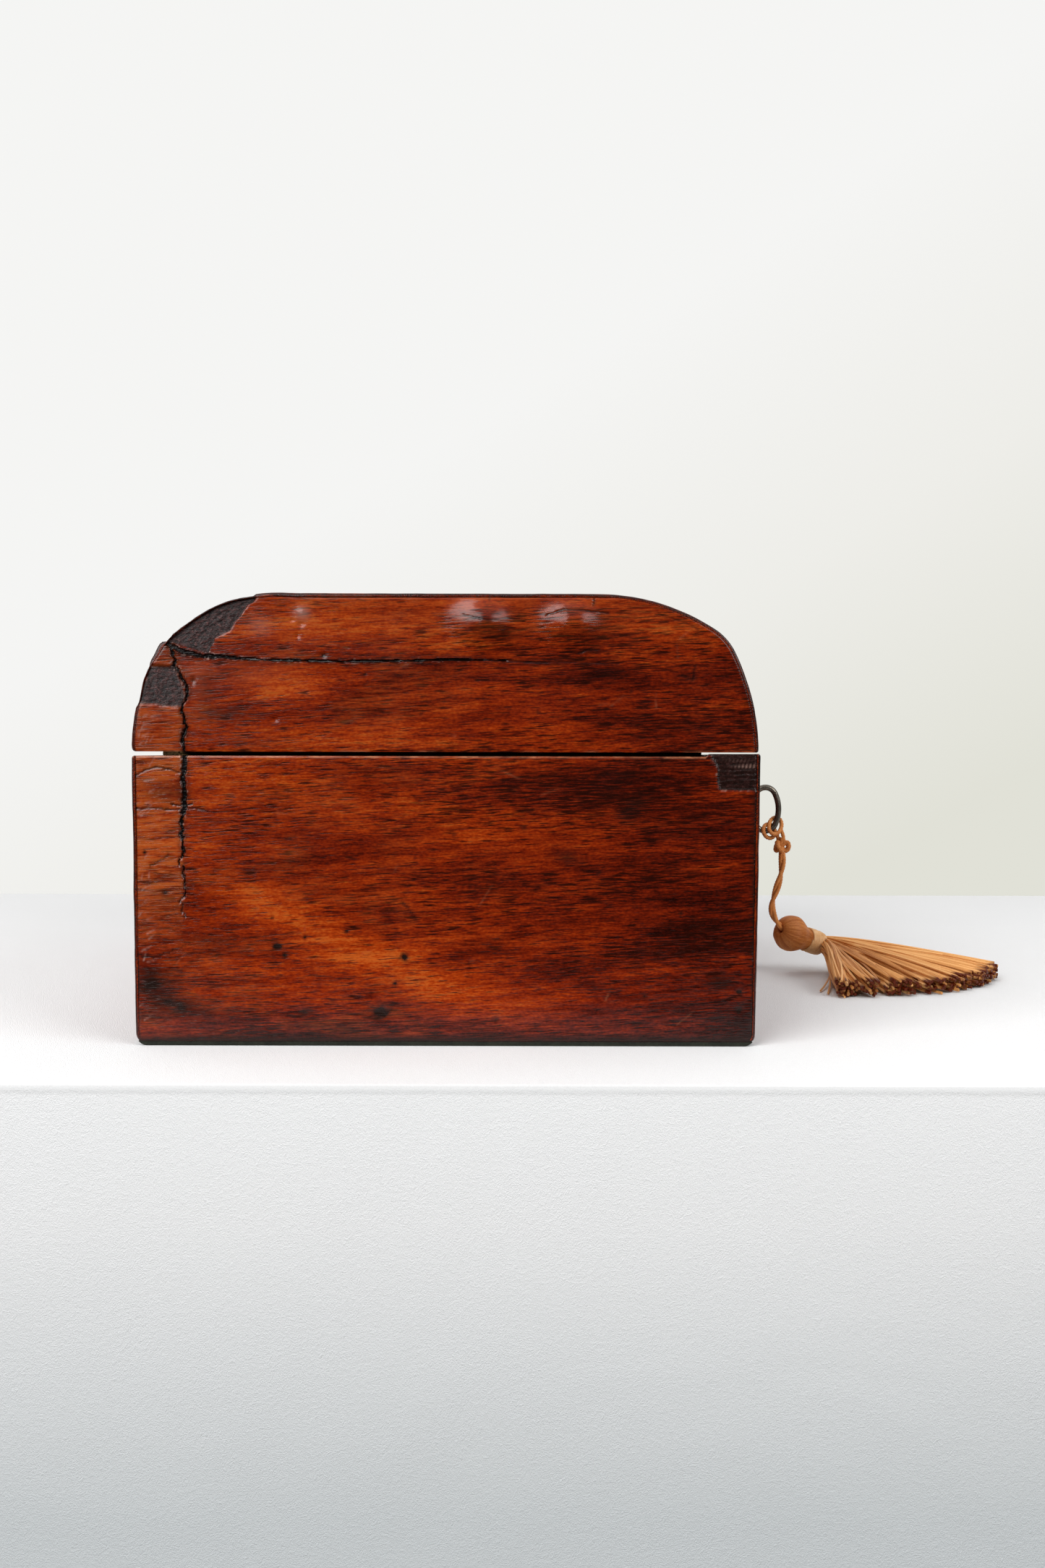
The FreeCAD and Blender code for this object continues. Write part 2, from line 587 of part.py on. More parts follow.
def make_inner_lid(name, s, cell):
    """A loose lid with bevelled edges and a turned knob pegged into its middle."""
    c = INNER_LID_CLEARANCE
    panel = box(cell[0] + c, cell[1] - c, -CELL_Y + c, CELL_Y - c, REST_Z + SEAT_GAP, INNER_LID_TOP)
    top_edges = [e for e in panel.Edges if all(abs(v.Point.z - INNER_LID_TOP) < 1e-4 for v in e.Vertexes)]
    panel = panel.makeChamfer(1.0, top_edges)
    outline = (
        (0, -3.0), (1.5, -3.0), (1.5, 0), (3.6, 0), (3.6, 0.8), (1.9, 1.6),
        (1.7, 3.0), (3.2, 4.4), (4.3, 6.2), (4.0, 7.9), (2.4, 9.0), (0, 9.3),
    )
    points = [Vector(r, 0, INNER_LID_TOP + h) for r, h in outline]
    edges = [Part.makeLine(a, b) for a, b in zip(points, points[1:] + points[:1])]
    knob = face_of(edges).revolve(Vector(), Vector(0, 0, 1), 360)
    knob.translate(Vector(s * KNOB_X, 0, 0))
    export(f"{name}_inner_lid", panel.cut(knob))
    export(f"{name}_inner_lid_knob", knob)


# ---------------------------------------------------------------- lid
def make_lid(hinge_cut, link_cut):
    cavity_y, cavity_x = INNER_Y + LID_CLEARANCE, INNER_X + LID_CLEARANCE
    core = dome(VENEER, -CARCASS_X, CARCASS_X)
    skin = dome(0, -HALF_LENGTH, HALF_LENGTH).cut(dome(VENEER, -LONG, LONG))
    export("lid_top_veneer", skin.cut(hinge_cut))
    export("lid_crown_board", core.common(box(-LONG, LONG, -LONG, LONG, CROWN_JOINT_Z, LONG)))
    front = box(-LONG, LONG, -LONG, -cavity_y, LID_Z, CROWN_JOINT_Z)
    back = box(-LONG, LONG, cavity_y, LONG, LID_Z, CROWN_JOINT_Z)
    export("lid_front_rail", core.common(front).cut(link_cut))
    export("lid_back_rail", core.common(back).cut(hinge_cut))
    for name, s in SIDES:
        rail = sorted((s * cavity_x, s * CARCASS_X))
        export(f"lid_{name}_end_rail", box(*rail, -cavity_y, cavity_y, LID_Z, CROWN_JOINT_Z))
        export(f"lid_{name}_end_veneer", dome(VENEER, *sorted((s * CARCASS_X, s * HALF_LENGTH))))
    export("lid_lining", box(-cavity_x, cavity_x, -cavity_y, cavity_y, CROWN_JOINT_Z - PAPER, CROWN_JOINT_Z))


def main():
    os.makedirs("parts", exist_ok=True)
    body_hinge_cut, lid_hinge_cut = make_hinges()
    lock_mortise = make_lock()
    link_cut = make_link_plate()
    keyhole_cut = make_escutcheon()
    make_body(body_hinge_cut, lock_mortise, keyhole_cut)
    make_interior()
    make_lid(lid_hinge_cut, link_cut)
    make_tassel(make_key())


main()
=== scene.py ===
import math

import bpy
import numpy as np
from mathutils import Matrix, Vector


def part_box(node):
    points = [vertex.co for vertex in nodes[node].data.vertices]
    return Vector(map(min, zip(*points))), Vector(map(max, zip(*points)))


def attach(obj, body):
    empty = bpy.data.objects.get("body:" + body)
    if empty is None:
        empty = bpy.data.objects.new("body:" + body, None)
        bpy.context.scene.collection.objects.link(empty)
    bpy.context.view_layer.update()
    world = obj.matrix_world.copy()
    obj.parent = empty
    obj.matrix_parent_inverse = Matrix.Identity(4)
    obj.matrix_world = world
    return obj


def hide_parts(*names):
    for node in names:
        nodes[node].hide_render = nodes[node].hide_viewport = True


# Dome-topped tea caddy with a key and tassel. Lengths are in millimetres in the row frame, and
# MM turns them into Blender's metres. On the two ends, "a" runs across the face towards the
# front, so a = -y.
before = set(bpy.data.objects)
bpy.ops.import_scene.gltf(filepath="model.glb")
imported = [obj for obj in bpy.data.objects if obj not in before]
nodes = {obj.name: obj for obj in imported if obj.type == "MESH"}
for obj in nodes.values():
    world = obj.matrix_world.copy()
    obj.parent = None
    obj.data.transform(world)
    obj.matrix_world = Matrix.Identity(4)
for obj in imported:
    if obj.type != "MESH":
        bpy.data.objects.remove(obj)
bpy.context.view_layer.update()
MM = 0.001


def corner_mm(node, which):
    return np.array(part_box(node)[which]) / MM


# ---------------------------------------------------------------- sizes
END_X = corner_mm("front_veneer", 1)[0]
RIM_Y = -corner_mm("front_veneer", 0)[1]
BODY_TOP = corner_mm("front_veneer", 1)[2]
BAIZE = corner_mm("base_baize", 1)[2]
LID_BASE = corner_mm("lid_top_veneer", 0)[2]
LID_HALF = corner_mm("lid_top_veneer", 1)[1]
CROWN = corner_mm("lid_top_veneer", 1)[2]
VENEER = CROWN - corner_mm("lid_crown_board", 1)[2]
BASE_ROUND = 3.0
FOOT_Y = 73.8

# dome outline as tangent arcs: (centre y, centre z, radius)
CROWN_FLAT = 36.0
HAUNCH_R, SHOULDER_R, SIDE_R = 51.0, 13.3, 54.0
HAUNCH = (CROWN_FLAT, CROWN - HAUNCH_R)
SIDE = (LID_HALF - SIDE_R, LID_BASE)


def circles_meet(a, radius_a, b, radius_b):
    """The outer meeting point of two circles."""
    dy, dz = b[0] - a[0], b[1] - a[1]
    apart = math.hypot(dy, dz)
    along = (radius_a**2 - radius_b**2 + apart**2) / (2 * apart)
    off = math.sqrt(radius_a**2 - along**2)
    middle = (a[0] + along * dy / apart, a[1] + along * dz / apart)
    return max((middle[0] + s * off * dz / apart, middle[1] - s * off * dy / apart) for s in (1, -1))


SHOULDER = circles_meet(HAUNCH, HAUNCH_R - SHOULDER_R, SIDE, SIDE_R - SHOULDER_R)

LATTICE = np.random.default_rng(11).uniform(-1, 1, (8, 256, 256))


def noise(u, v, layer=0):
    """Smooth value noise in -1..1, one cell per unit."""
    iu, iv = np.floor(u).astype(int), np.floor(v).astype(int)
    fu, fv = u - iu, v - iv
    fu, fv = fu * fu * (3 - 2 * fu), fv * fv * (3 - 2 * fv)
    table = LATTICE[layer % 8]
    low = table[iu % 256, iv % 256] * (1 - fu) + table[(iu + 1) % 256, iv % 256] * fu
    high = table[iu % 256, (iv + 1) % 256] * (1 - fu) + table[(iu + 1) % 256, (iv + 1) % 256] * fu
    return low * (1 - fv) + high * fv


def rough(u, v, layer=0, octaves=3):
    total = sum(noise(u * 2**k, v * 2**k, layer + k) / 2**k for k in range(octaves))
    return total / (2 - 2 ** (1 - octaves))


def smooth(edge0, edge1, x):
    t = np.clip((x - edge0) / (edge1 - edge0), 0, 1)
    return t * t * (3 - 2 * t)


def bell(x, width):
    """1 where x is 0, falling to nearly nothing at twice the width."""
    return np.exp(-((x / width) ** 2))


def to_line(a, z, points):
    """Distance from each point to a polyline, and how far along it the nearest place is (0 to 1)."""
    points = np.asarray(points, float)
    lengths = np.hypot(*(points[1:] - points[:-1]).T)
    done, best, where = 0.0, np.full(np.shape(a), 1e9), np.zeros(np.shape(a))
    for (a0, z0), (a1, z1), length in zip(points, points[1:], lengths):
        t = np.clip(((a - a0) * (a1 - a0) + (z - z0) * (z1 - z0)) / length**2, 0, 1)
        d = np.hypot(a - a0 - t * (a1 - a0), z - z0 - t * (z1 - z0))
        closer = d < best
        best = np.where(closer, d, best)
        where = np.where(closer, (done + t * length) / lengths.sum(), where)
        done += length
    return best, where


def depth_inside(a, z, polygon):
    """Distance to a polygon's edge, positive inside it."""
    closed = list(polygon) + [polygon[0]]
    inside = np.zeros(np.shape(a), bool)
    for (a0, z0), (a1, z1) in zip(closed, closed[1:]):
        crosses = (z0 > z) != (z1 > z)
        at = a0 + (z - z0) / (z1 - z0 if z1 != z0 else 1e-9) * (a1 - a0)
        inside ^= crosses & (a < at)
    distance = to_line(a, z, closed)[0]
    return np.where(inside, distance, -distance)


def ellipse(a, z, centre, radii, turn_deg=0.0):
    """A soft blob, 1 at its centre and nearly 0 at its radii."""
    c, s = math.cos(math.radians(turn_deg)), math.sin(math.radians(turn_deg))
    da, dz = a - centre[0], z - centre[1]
    return np.exp(-2.5 * (((da * c + dz * s) / radii[0]) ** 2 + ((dz * c - da * s) / radii[1]) ** 2))


def blobs(a, z, places):
    """A sum of soft blobs: (amount, centre's a and z, radii along a and z, turn in degrees)."""
    total = 0 * a
    for amount, ca, cz, ra, rz, turn_deg in places:
        total = total + amount * ellipse(a, z, (ca, cz), (ra, rz), turn_deg)
    return total


def distances_along(points):
    """How far each point of a line is from its start."""
    return np.concatenate([[0], np.cumsum(np.linalg.norm(np.diff(points, axis=0), axis=1))])


# ---------------------------------------------------------------- node helpers
def material(name, **settings):
    """A new material, its tree and its shader with constant settings."""
    made = bpy.data.materials.new(name)
    made.use_nodes = True
    shader = made.node_tree.nodes["Principled BSDF"]
    for key, value in settings.items():
        shader.inputs[key.replace("_", " ")].default_value = value
    return made, made.node_tree, shader


def node(tree, kind, inputs=(), **settings):
    made = tree.nodes.new("ShaderNode" + kind)
    for key, value in settings.items():
        setattr(made, key, value)
    for key, value in dict(inputs).items():
        plug(tree, value, made.inputs[key])
    return made


def plug(tree, value, socket):
    if isinstance(value, bpy.types.NodeSocket):
        tree.links.new(value, socket)
    else:
        socket.default_value = value


def calc(tree, operation, a, b=0.0, c=0.0, clamp=False):
    return node(tree, "Math", {0: a, 1: b, 2: c}, operation=operation, use_clamp=clamp).outputs[0]


def times(tree, a, b):
    return calc(tree, "MULTIPLY", a, b)


def times_plus(tree, a, b, c, clamp=False):
    """a times b, plus c."""
    return calc(tree, "MULTIPLY_ADD", a, b, c, clamp)


def mixed(tree, factor, a, b, blend="MIX"):
    made = node(tree, "Mix", {0: factor, 6: a, 7: b}, data_type="RGBA", blend_type=blend)
    return made.outputs[2]


def ramp(tree, value, stops):
    """A colour ramp. Each stop is (position, colour or grey)."""
    made = node(tree, "ValToRGB", {0: value})
    elements = made.color_ramp.elements
    while len(elements) < len(stops):
        elements.new(0.5)
    for element, (position, colour) in zip(elements, stops):
        element.position = position
        element.color = (*colour, 1) if isinstance(colour, tuple) else (colour, colour, colour, 1)
    return made.outputs[0]


def cloud(tree, vector, scale=1.0, detail=3.0, roughness=0.5, distortion=0.0):
    made = node(tree, "TexNoise", {"Vector": vector, "Scale": scale, "Detail": detail,
                                   "Roughness": roughness, "Distortion": distortion})
    return made.outputs[0]


def placed(tree, scale, shift=(0, 0, 0), turn=(0, 0, 0)):
    """Object coordinates, turned and then scaled per axis to cells per metre."""
    coordinates = node(tree, "TexCoord").outputs["Object"]
    turned = node(tree, "Mapping", {"Vector": coordinates, "Rotation": turn}).outputs[0]
    return node(tree, "Mapping", {"Vector": turned, "Scale": scale, "Location": shift}).outputs[0]


def painted(tree, name):
    """A value that a piece carries at its vertices, 0 where it carries none."""
    return node(tree, "Attribute", attribute_name=name).outputs["Fac"]


def colour_with(tree, shader, colour):
    tree.links.new(colour, shader.inputs["Base Color"])


def bump(tree, shader, height, strength, distance_mm):
    made = node(tree, "Bump", {"Height": height, "Strength": strength, "Distance": distance_mm * MM})
    tree.links.new(made.outputs[0], shader.inputs["Normal"])


# ---------------------------------------------------------------- materials
WALNUT_TONES = (
    (0.0, (0.010, 0.0012, 0.0005)),
    (0.2, (0.045, 0.0032, 0.0008)),
    (0.4, (0.105, 0.0072, 0.0011)),
    (0.6, (0.190, 0.0155, 0.0015)),
    (0.8, (0.300, 0.0330, 0.0024)),
    (1.0, (0.410, 0.0760, 0.0090)),
)
GROUND_TONES = (
    (0.40, (0.004, 0.0014, 0.0012)),
    (0.54, (0.026, 0.0075, 0.0068)),
    (0.68, (0.105, 0.040, 0.036)),
)
FOIL_TONES = ((0.32, (0.16, 0.155, 0.145)), (0.55, (0.36, 0.355, 0.34)), (0.75, (0.52, 0.51, 0.48)))
PAPER_TONES = ((0.32, (0.34, 0.25, 0.15)), (0.5, (0.55, 0.45, 0.31)), (0.7, (0.64, 0.55, 0.42)))
BAIZE_TONES = ((0.35, (0.006, 0.007, 0.005)), (0.6, (0.018, 0.020, 0.013)))
PINE = ((0.16, 0.070, 0.026), (0.33, 0.165, 0.066), (0.46, 0.260, 0.115))
MAHOGANY = ((0.060, 0.016, 0.008), (0.150, 0.045, 0.020), (0.240, 0.085, 0.038))
CUT_END_SHADE = (0.090, 0.0120, 0.0016, 1)
CRACK_BLACK = (0.0030, 0.0018, 0.0016, 1)
PORE_BROWN = (0.0130, 0.0019, 0.0008, 1)
SMOKE_AND_SHADE = (0.0110, 0.0042, 0.0028, 1)
FADED = (0.400, 0.0950, 0.0200, 1)
BLUSH = (0.235, 0.050, 0.022, 1)
CHIPPED_AND_HIGHLIGHT = (0.360, 0.215, 0.175, 1)
RUBBED_AND_HIGHLIGHT = (0.420, 0.150, 0.070, 1)


def polished_walnut(name, grain_axis, fixed_axis=None):
    """French-polished red-brown veneer: figure, dark pore dashes, stains, worn edges and losses, with painted
    shade and painted highlights.

    The grain runs along grain_axis, and fixed_axis is the one into the face, where little changes.
    """
    made, tree, shader = material(name, Specular_IOR_Level=0.28)

    def along(grain, across, shift=(0, 0, 0), turn_deg=0.0):
        scale = [across] * 3
        scale[grain_axis] = grain
        turn = [0.0, 0.0, 0.0]
        if fixed_axis is not None:
            scale[fixed_axis] = grain
            turn[fixed_axis] = math.radians(turn_deg)
        return placed(tree, scale, shift, turn)

    # colour from broad figure to single threads, lighter or darker where the face is painted so, which
    # includes painted shade
    tone_and_shade = painted(tree, "tone_and_shade")
    figure = cloud(tree, along(12, 70, (3, 1, 2), 8), detail=3, roughness=0.55, distortion=0.5)
    streaks = cloud(tree, along(45, 460, (7, 5, 3), 4), detail=4, roughness=0.65)
    threads = cloud(tree, along(190, 1900, (1, 9, 4), 2), detail=2, roughness=0.7)
    value = times_plus(tree, figure, 0.80, -1.02)
    value = times_plus(tree, streaks, 0.90, value)
    value = times_plus(tree, threads, 0.98, value)
    value = times_plus(tree, tone_and_shade, 0.23, value)
    speckle = cloud(tree, along(1150, 2700, (6, 3, 3)), detail=1)
    value = times_plus(tree, speckle, 0.50, value)
    colour = ramp(tree, value, WALNUT_TONES)

    # dark pore dashes, gathered in bands that fall slightly towards the front
    gather = cloud(tree, along(16, 95, (2, 8, 6), 8), detail=3)
    crowding = times_plus(tree, tone_and_shade, -0.030, times_plus(tree, gather, 0.40, -0.205))
    dash_noise = cloud(tree, along(210, 3000, (5, 2, 1), 2), detail=2)
    dashes = ramp(tree, calc(tree, "ADD", dash_noise, crowding), ((0.51, 0.0), (0.64, 1.0)))
    tick_noise = cloud(tree, along(120, 1500, (4, 4, 8), 3), detail=3, roughness=0.6)
    ticks = ramp(tree, calc(tree, "ADD", tick_noise, crowding), ((0.58, 0.0), (0.71, 1.0)))
    pores = calc(tree, "MAXIMUM", dashes, times(tree, ticks, 0.7), clamp=True)
    colour = mixed(tree, times(tree, pores, 0.92), colour, PORE_BROWN)

    # faded polish, and old smoke stains together with painted shade at some edges and near the base, both
    # broken up by the grain
    grain = times_plus(tree, threads, 0.6, times(tree, streaks, 0.4))
    faded = times(tree, painted(tree, "faded"), ramp(tree, grain, ((0.42, 0.10), (0.58, 1.0))))
    colour = mixed(tree, faded, colour, FADED)
    smoke_and_shade = ramp(tree, times_plus(tree, threads, 0.7, painted(tree, "stain_and_shade")), ((0.35, 0.0), (1.15, 1.0)))
    colour = mixed(tree, smoke_and_shade, colour, SMOKE_AND_SHADE)
    # rubbed wear, and painted highlights along the rims of the ends
    chafing_and_highlight = ramp(tree, cloud(tree, along(420, 900)), ((0.36, 0.25), (0.60, 1.0)))
    colour = mixed(tree, times(tree, painted(tree, "wear_and_highlight"), chafing_and_highlight), colour, RUBBED_AND_HIGHLIGHT)

    # bare ground where veneer is lost, the bloom beside cracks, their broken edges and their black, and
    # painted highlights on the lid's blisters in the colour of the broken edges
    ground_noise = cloud(tree, along(900, 1700, (6, 6, 6)), detail=4, roughness=0.75)
    blush = times(tree, painted(tree, "blush"), ramp(tree, streaks, ((0.40, 0.3), (0.60, 1.0))))
    colour = mixed(tree, blush, colour, BLUSH)
    colour = mixed(tree, painted(tree, "bare"), colour, ramp(tree, ground_noise, GROUND_TONES))
    colour = mixed(tree, painted(tree, "chip_and_highlight"), colour, CHIPPED_AND_HIGHLIGHT)
    colour = mixed(tree, painted(tree, "crack"), colour, CRACK_BLACK)
    colour_with(tree, shader, colour)

    gloss = ramp(tree, cloud(tree, along(60, 90, (2, 2, 9)), detail=4), ((0.3, 0.15), (0.7, 0.22)))
    plug(tree, times_plus(tree, painted(tree, "bare"), 0.12, gloss, clamp=True), shader.inputs["Roughness"])

    relief = times_plus(tree, pores, -0.35, times(tree, threads, 0.25))
    relief = times_plus(tree, times(tree, ground_noise, painted(tree, "bare")), 5.0, relief)
    relief = times_plus(tree, cloud(tree, along(110, 240), detail=3), 1.2, relief)
    bump(tree, shader, relief, 0.5, 0.10)
    return made


def plain_wood(name, tones, grain_axis, roughness, pore_depth):
    """Waxed or bare timber with growth bands and pores along one axis."""
    made, tree, shader = material(name, Specular_IOR_Level=0.35)

    def along(grain, across, shift=(0, 0, 0)):
        scale = [across] * 3
        scale[grain_axis] = grain
        return placed(tree, scale, shift)

    bands = cloud(tree, along(10, 130, (2, 4, 1)), detail=3, distortion=0.8)
    fibres = cloud(tree, along(60, 1500), detail=3, roughness=0.7)
    pores = ramp(tree, cloud(tree, along(150, 2200, (5, 1, 3)), detail=1), ((0.56, 0.0), (0.68, 1.0)))
    value = times_plus(tree, fibres, 0.45, times(tree, bands, 0.6))
    dark, middle, light = tones
    colour = ramp(tree, value, ((0.30, dark), (0.52, middle), (0.74, light)))
    colour = mixed(tree, times(tree, pores, 0.6), colour, (*[0.35 * c for c in dark], 1))
    grime = ramp(tree, cloud(tree, along(35, 45, (7, 7, 2)), detail=5), ((0.42, 0.0), (0.75, 1.0)))
    colour = mixed(tree, times(tree, grime, 0.45), colour, (*[0.4 * c for c in middle], 1))
    colour_with(tree, shader, colour)
    plug(tree, times_plus(tree, fibres, 0.2, roughness - 0.1), shader.inputs["Roughness"])
    bump(tree, shader, times_plus(tree, pores, -1.0, fibres), 0.5, pore_depth)
    return made


def aged_metal(name, bright, dark, roughness):
    """Brass or steel with a patina that is thinner where it is touched."""
    made, tree, shader = material(name, Metallic=1.0)
    patina = cloud(tree, placed(tree, [260] * 3), detail=6, roughness=0.68)
    grit = cloud(tree, placed(tree, [1500] * 3, (3, 1, 2)), detail=3)
    specks = ramp(tree, grit, ((0.56, 0.0), (0.68, 1.0)))
    rubbed = cloud(tree, placed(tree, (2600, 300, 300)), detail=2)
    colour = ramp(tree, patina, ((0.32, dark), (0.62, bright)))
    colour = mixed(tree, times(tree, specks, 0.7), colour, (*[0.45 * c for c in dark], 1))
    colour_with(tree, shader, colour)
    worn = times_plus(tree, patina, -0.35, roughness + 0.17)
    plug(tree, times_plus(tree, specks, 0.25, worn, clamp=True), shader.inputs["Roughness"])
    bump(tree, shader, times_plus(tree, specks, -1.0, calc(tree, "ADD", patina, rubbed)), 0.35, 0.06)
    return made


def silk(name, light, middle, deep):
    """Twisted artificial silk. A painted value for the lay varies it by thread, and on the head adds painted
    shade in the grooves between threads; another paints shade at cut ends.
    """
    made, tree, shader = material(name, Roughness=0.40, Specular_IOR_Level=0.16)
    fuzz = cloud(tree, placed(tree, [2400] * 3), detail=3)
    drift = cloud(tree, placed(tree, [90] * 3, (4, 1, 1)), detail=2)
    value = times_plus(tree, fuzz, 0.3, times(tree, drift, 0.3))
    value = times_plus(tree, painted(tree, "lay_and_shade"), 0.5, value)
    colour = ramp(tree, value, ((0.12, deep), (0.45, middle), (0.80, light)))
    colour = mixed(tree, painted(tree, "cut"), colour, CUT_END_SHADE)
    colour_with(tree, shader, colour)
    bump(tree, shader, fuzz, 0.35, 0.05)
    return made


def soft_matte(name, stops, cells, depth):
    """Baize or paper: a mottled colour with a fibrous surface."""
    made, tree, shader = material(name, Roughness=0.85, Specular_IOR_Level=0.2)
    mottle = cloud(tree, placed(tree, [cells] * 3), detail=6, roughness=0.7)
    fibre = cloud(tree, placed(tree, [cells * 14] * 3), detail=3)
    colour = ramp(tree, times_plus(tree, fibre, 0.3, times(tree, mottle, 0.7)), stops)
    colour_with(tree, shader, colour)
    bump(tree, shader, fibre, 0.6, depth)
    return made


def tin_foil(name):
    """Dull lead and tin foil, creased and oxidised."""
    made, tree, shader = material(name, Metallic=0.85)
    dents = cloud(tree, placed(tree, [120] * 3), detail=5, roughness=0.6, distortion=1.4)
    cells = node(tree, "TexVoronoi", {"Vector": placed(tree, [70] * 3)}, feature="DISTANCE_TO_EDGE")
    colour = ramp(tree, dents, FOIL_TONES)
    colour_with(tree, shader, colour)
    plug(tree, times_plus(tree, dents, 0.4, 0.25), shader.inputs["Roughness"])
    crest = ramp(tree, cells.outputs[0], ((0.0, 1.0), (0.06, 0.0)))
    bump(tree, shader, times_plus(tree, crest, 0.5, dents), 0.8, 0.5)
    return made


def turned_bone(name):
    """Yellowed bone with fine dark pores."""
    made, tree, shader = material(name, Roughness=0.38, Subsurface_Weight=0.12, Subsurface_Scale=0.002)
    shader.inputs["Subsurface Radius"].default_value = (1.0, 0.7, 0.4)
    age = cloud(tree, placed(tree, [220, 220, 90]), detail=4)
    canals = cloud(tree, placed(tree, [2600, 2600, 500], (2, 2, 2)), detail=1)
    flecks = ramp(tree, canals, ((0.62, 0.0), (0.70, 1.0)))
    colour = ramp(tree, age, ((0.3, (0.52, 0.40, 0.22)), (0.6, (0.78, 0.70, 0.52))))
    colour = mixed(tree, times(tree, flecks, 0.6), colour, (0.16, 0.09, 0.04, 1))
    colour_with(tree, shader, colour)
    bump(tree, shader, flecks, -0.4, 0.05)
    return made


WALNUT_END = polished_walnut("walnut_end", 1, 0)
WALNUT_LONG = polished_walnut("walnut_long", 0)
PINE_LONG = plain_wood("carcass_long", PINE, 0, 0.7, 0.12)
PINE_DEEP = plain_wood("carcass_deep", PINE, 1, 0.7, 0.12)
LINING_LONG = plain_wood("lining_long", MAHOGANY, 0, 0.42, 0.08)
LINING_DEEP = plain_wood("lining_deep", MAHOGANY, 1, 0.42, 0.08)
BRASS = aged_metal("dulled_brass", (0.60, 0.40, 0.16), (0.22, 0.13, 0.05), 0.34)
# hinge brass darkened nearly to black: partly tarnish, partly painted shade for the hinges seen through the
# gap between lid and body
HINGE_BRASS_TARNISH_AND_SHADE = aged_metal("tarnished_brass_and_shade", (0.085, 0.053, 0.022), (0.014, 0.009, 0.005), 0.42)
STEEL = aged_metal("dark_steel", (0.190, 0.165, 0.135), (0.050, 0.040, 0.030), 0.36)
SILK = silk("tassel_silk_thread", (0.80, 0.435, 0.165), (0.62, 0.275, 0.080), (0.33, 0.105, 0.022))
HEAD_SILK = silk("head_silk_thread", (0.62, 0.255, 0.075), (0.42, 0.135, 0.032), (0.22, 0.056, 0.010))
CORD_SILK = silk("cord_silk_thread", (0.66, 0.270, 0.082), (0.46, 0.155, 0.038), (0.27, 0.073, 0.014))
BINDING_SILK = silk("binding_silk_thread", (0.80, 0.53, 0.29), (0.60, 0.32, 0.125), (0.42, 0.19, 0.066))
BAIZE_CLOTH = soft_matte("worn_baize", BAIZE_TONES, 160, 0.25)
LINING_PAPER = soft_matte("lining_paper_sheet", PAPER_TONES, 60, 0.06)
FOIL = tin_foil("lead_foil")
BONE = turned_bone("yellowed_bone")


# ---------------------------------------------------------------- mesh helpers
PAINT_RANGE = {"tone_and_shade": (-2, 2)}


def added(name, data):
    """A new object in the scene."""
    made = bpy.data.objects.new(name, data)
    bpy.context.scene.collection.objects.link(made)
    return made


def new_mesh(name, points, faces):
    """A mesh from points in millimetres."""
    mesh = bpy.data.meshes.new(name)
    mesh.from_pydata((np.asarray(points, float) * MM).tolist(), [], faces)
    return mesh


def piece(name, points, faces, finish, body, replaces=(), painted_values=(), crease_deg=55):
    """A named mesh piece from points in millimetres, riding on a body."""
    mesh = new_mesh(name, points, faces)
    for key, values in dict(painted_values).items():
        data = np.zeros(len(mesh.vertices), np.float32)
        data[: values.size] = np.clip(values.ravel(), *PAINT_RANGE.get(key, (0, 1)))
        mesh.attributes.new(key, "FLOAT", "POINT").data.foreach_set("value", data)
    mesh.materials.append(finish)
    mesh.shade_smooth()
    mesh.set_sharp_from_angle(angle=math.radians(crease_deg))
    made = added(name, mesh)
    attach(made, body)
    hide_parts(*replaces)
    return made


def grid_faces(rows, columns, start=0, flip=False, wrap=False):
    """Quads of a grid of points stored row by row. wrap joins each row's end to its start."""
    faces = []
    for r in range(rows - 1):
        for c in range(columns if wrap else columns - 1):
            low, high = start + r * columns, start + (r + 1) * columns
            after = (c + 1) % columns
            quad = [low + c, low + after, high + after, high + c]
            faces.append(quad[::-1] if flip else quad)
    return faces


def tube_faces(rings, around):
    """Quads of a tube stored ring by ring, with a cap at each end."""
    faces = grid_faces(rings, around, wrap=True)
    faces.append(list(range(around))[::-1])
    faces.append([(rings - 1) * around + i for i in range(around)])
    return faces


def border(rows, columns):
    """The indices round the edge of a grid, in order."""
    bottom = list(range(columns))
    right = [r * columns + columns - 1 for r in range(1, rows)]
    top = [(rows - 1) * columns + c for c in range(columns - 2, -1, -1)]
    left = [r * columns for r in range(rows - 2, 0, -1)]
    return bottom + right + top + left


def stations(start, end, step, fine=(), fine_step=0.2):
    """Places from start to end, closer together inside the fine spans."""
    places, at = [start], start
    while at < end - 1e-6:
        near = any(low <= at + 0.5 * step and at <= high for low, high in fine)
        at = min(end, at + (fine_step if near else step))
        places.append(at)
    return np.array(places)


# ---------------------------------------------------------------- end faces
def body_half_width(z):
    return FOOT_Y + (RIM_Y - FOOT_Y) * z / BODY_TOP


def dome_outline(inset, step):
    """Half of the dome from the rim to the crown's edge, as (half width, height) rows."""
    low = math.atan2(SHOULDER[1] - SIDE[1], SHOULDER[0] - SIDE[0])
    high = math.atan2(SHOULDER[1] - HAUNCH[1], SHOULDER[0] - HAUNCH[0])
    arcs = (
        (SIDE, SIDE_R - inset, 0.0, low),
        (SHOULDER, SHOULDER_R - inset, low, high),
        (HAUNCH, HAUNCH_R - inset, high, math.pi / 2),
    )
    rows = []
    for (cy, cz), radius, a, b in arcs:
        count = max(2, round(radius * (b - a) / step))
        turns = np.linspace(a, b, count, endpoint=False)
        rows += [(cy + radius * math.cos(t), cz + radius * math.sin(t)) for t in turns]
    rows.append((CROWN_FLAT, CROWN - inset))
    return np.array(rows)


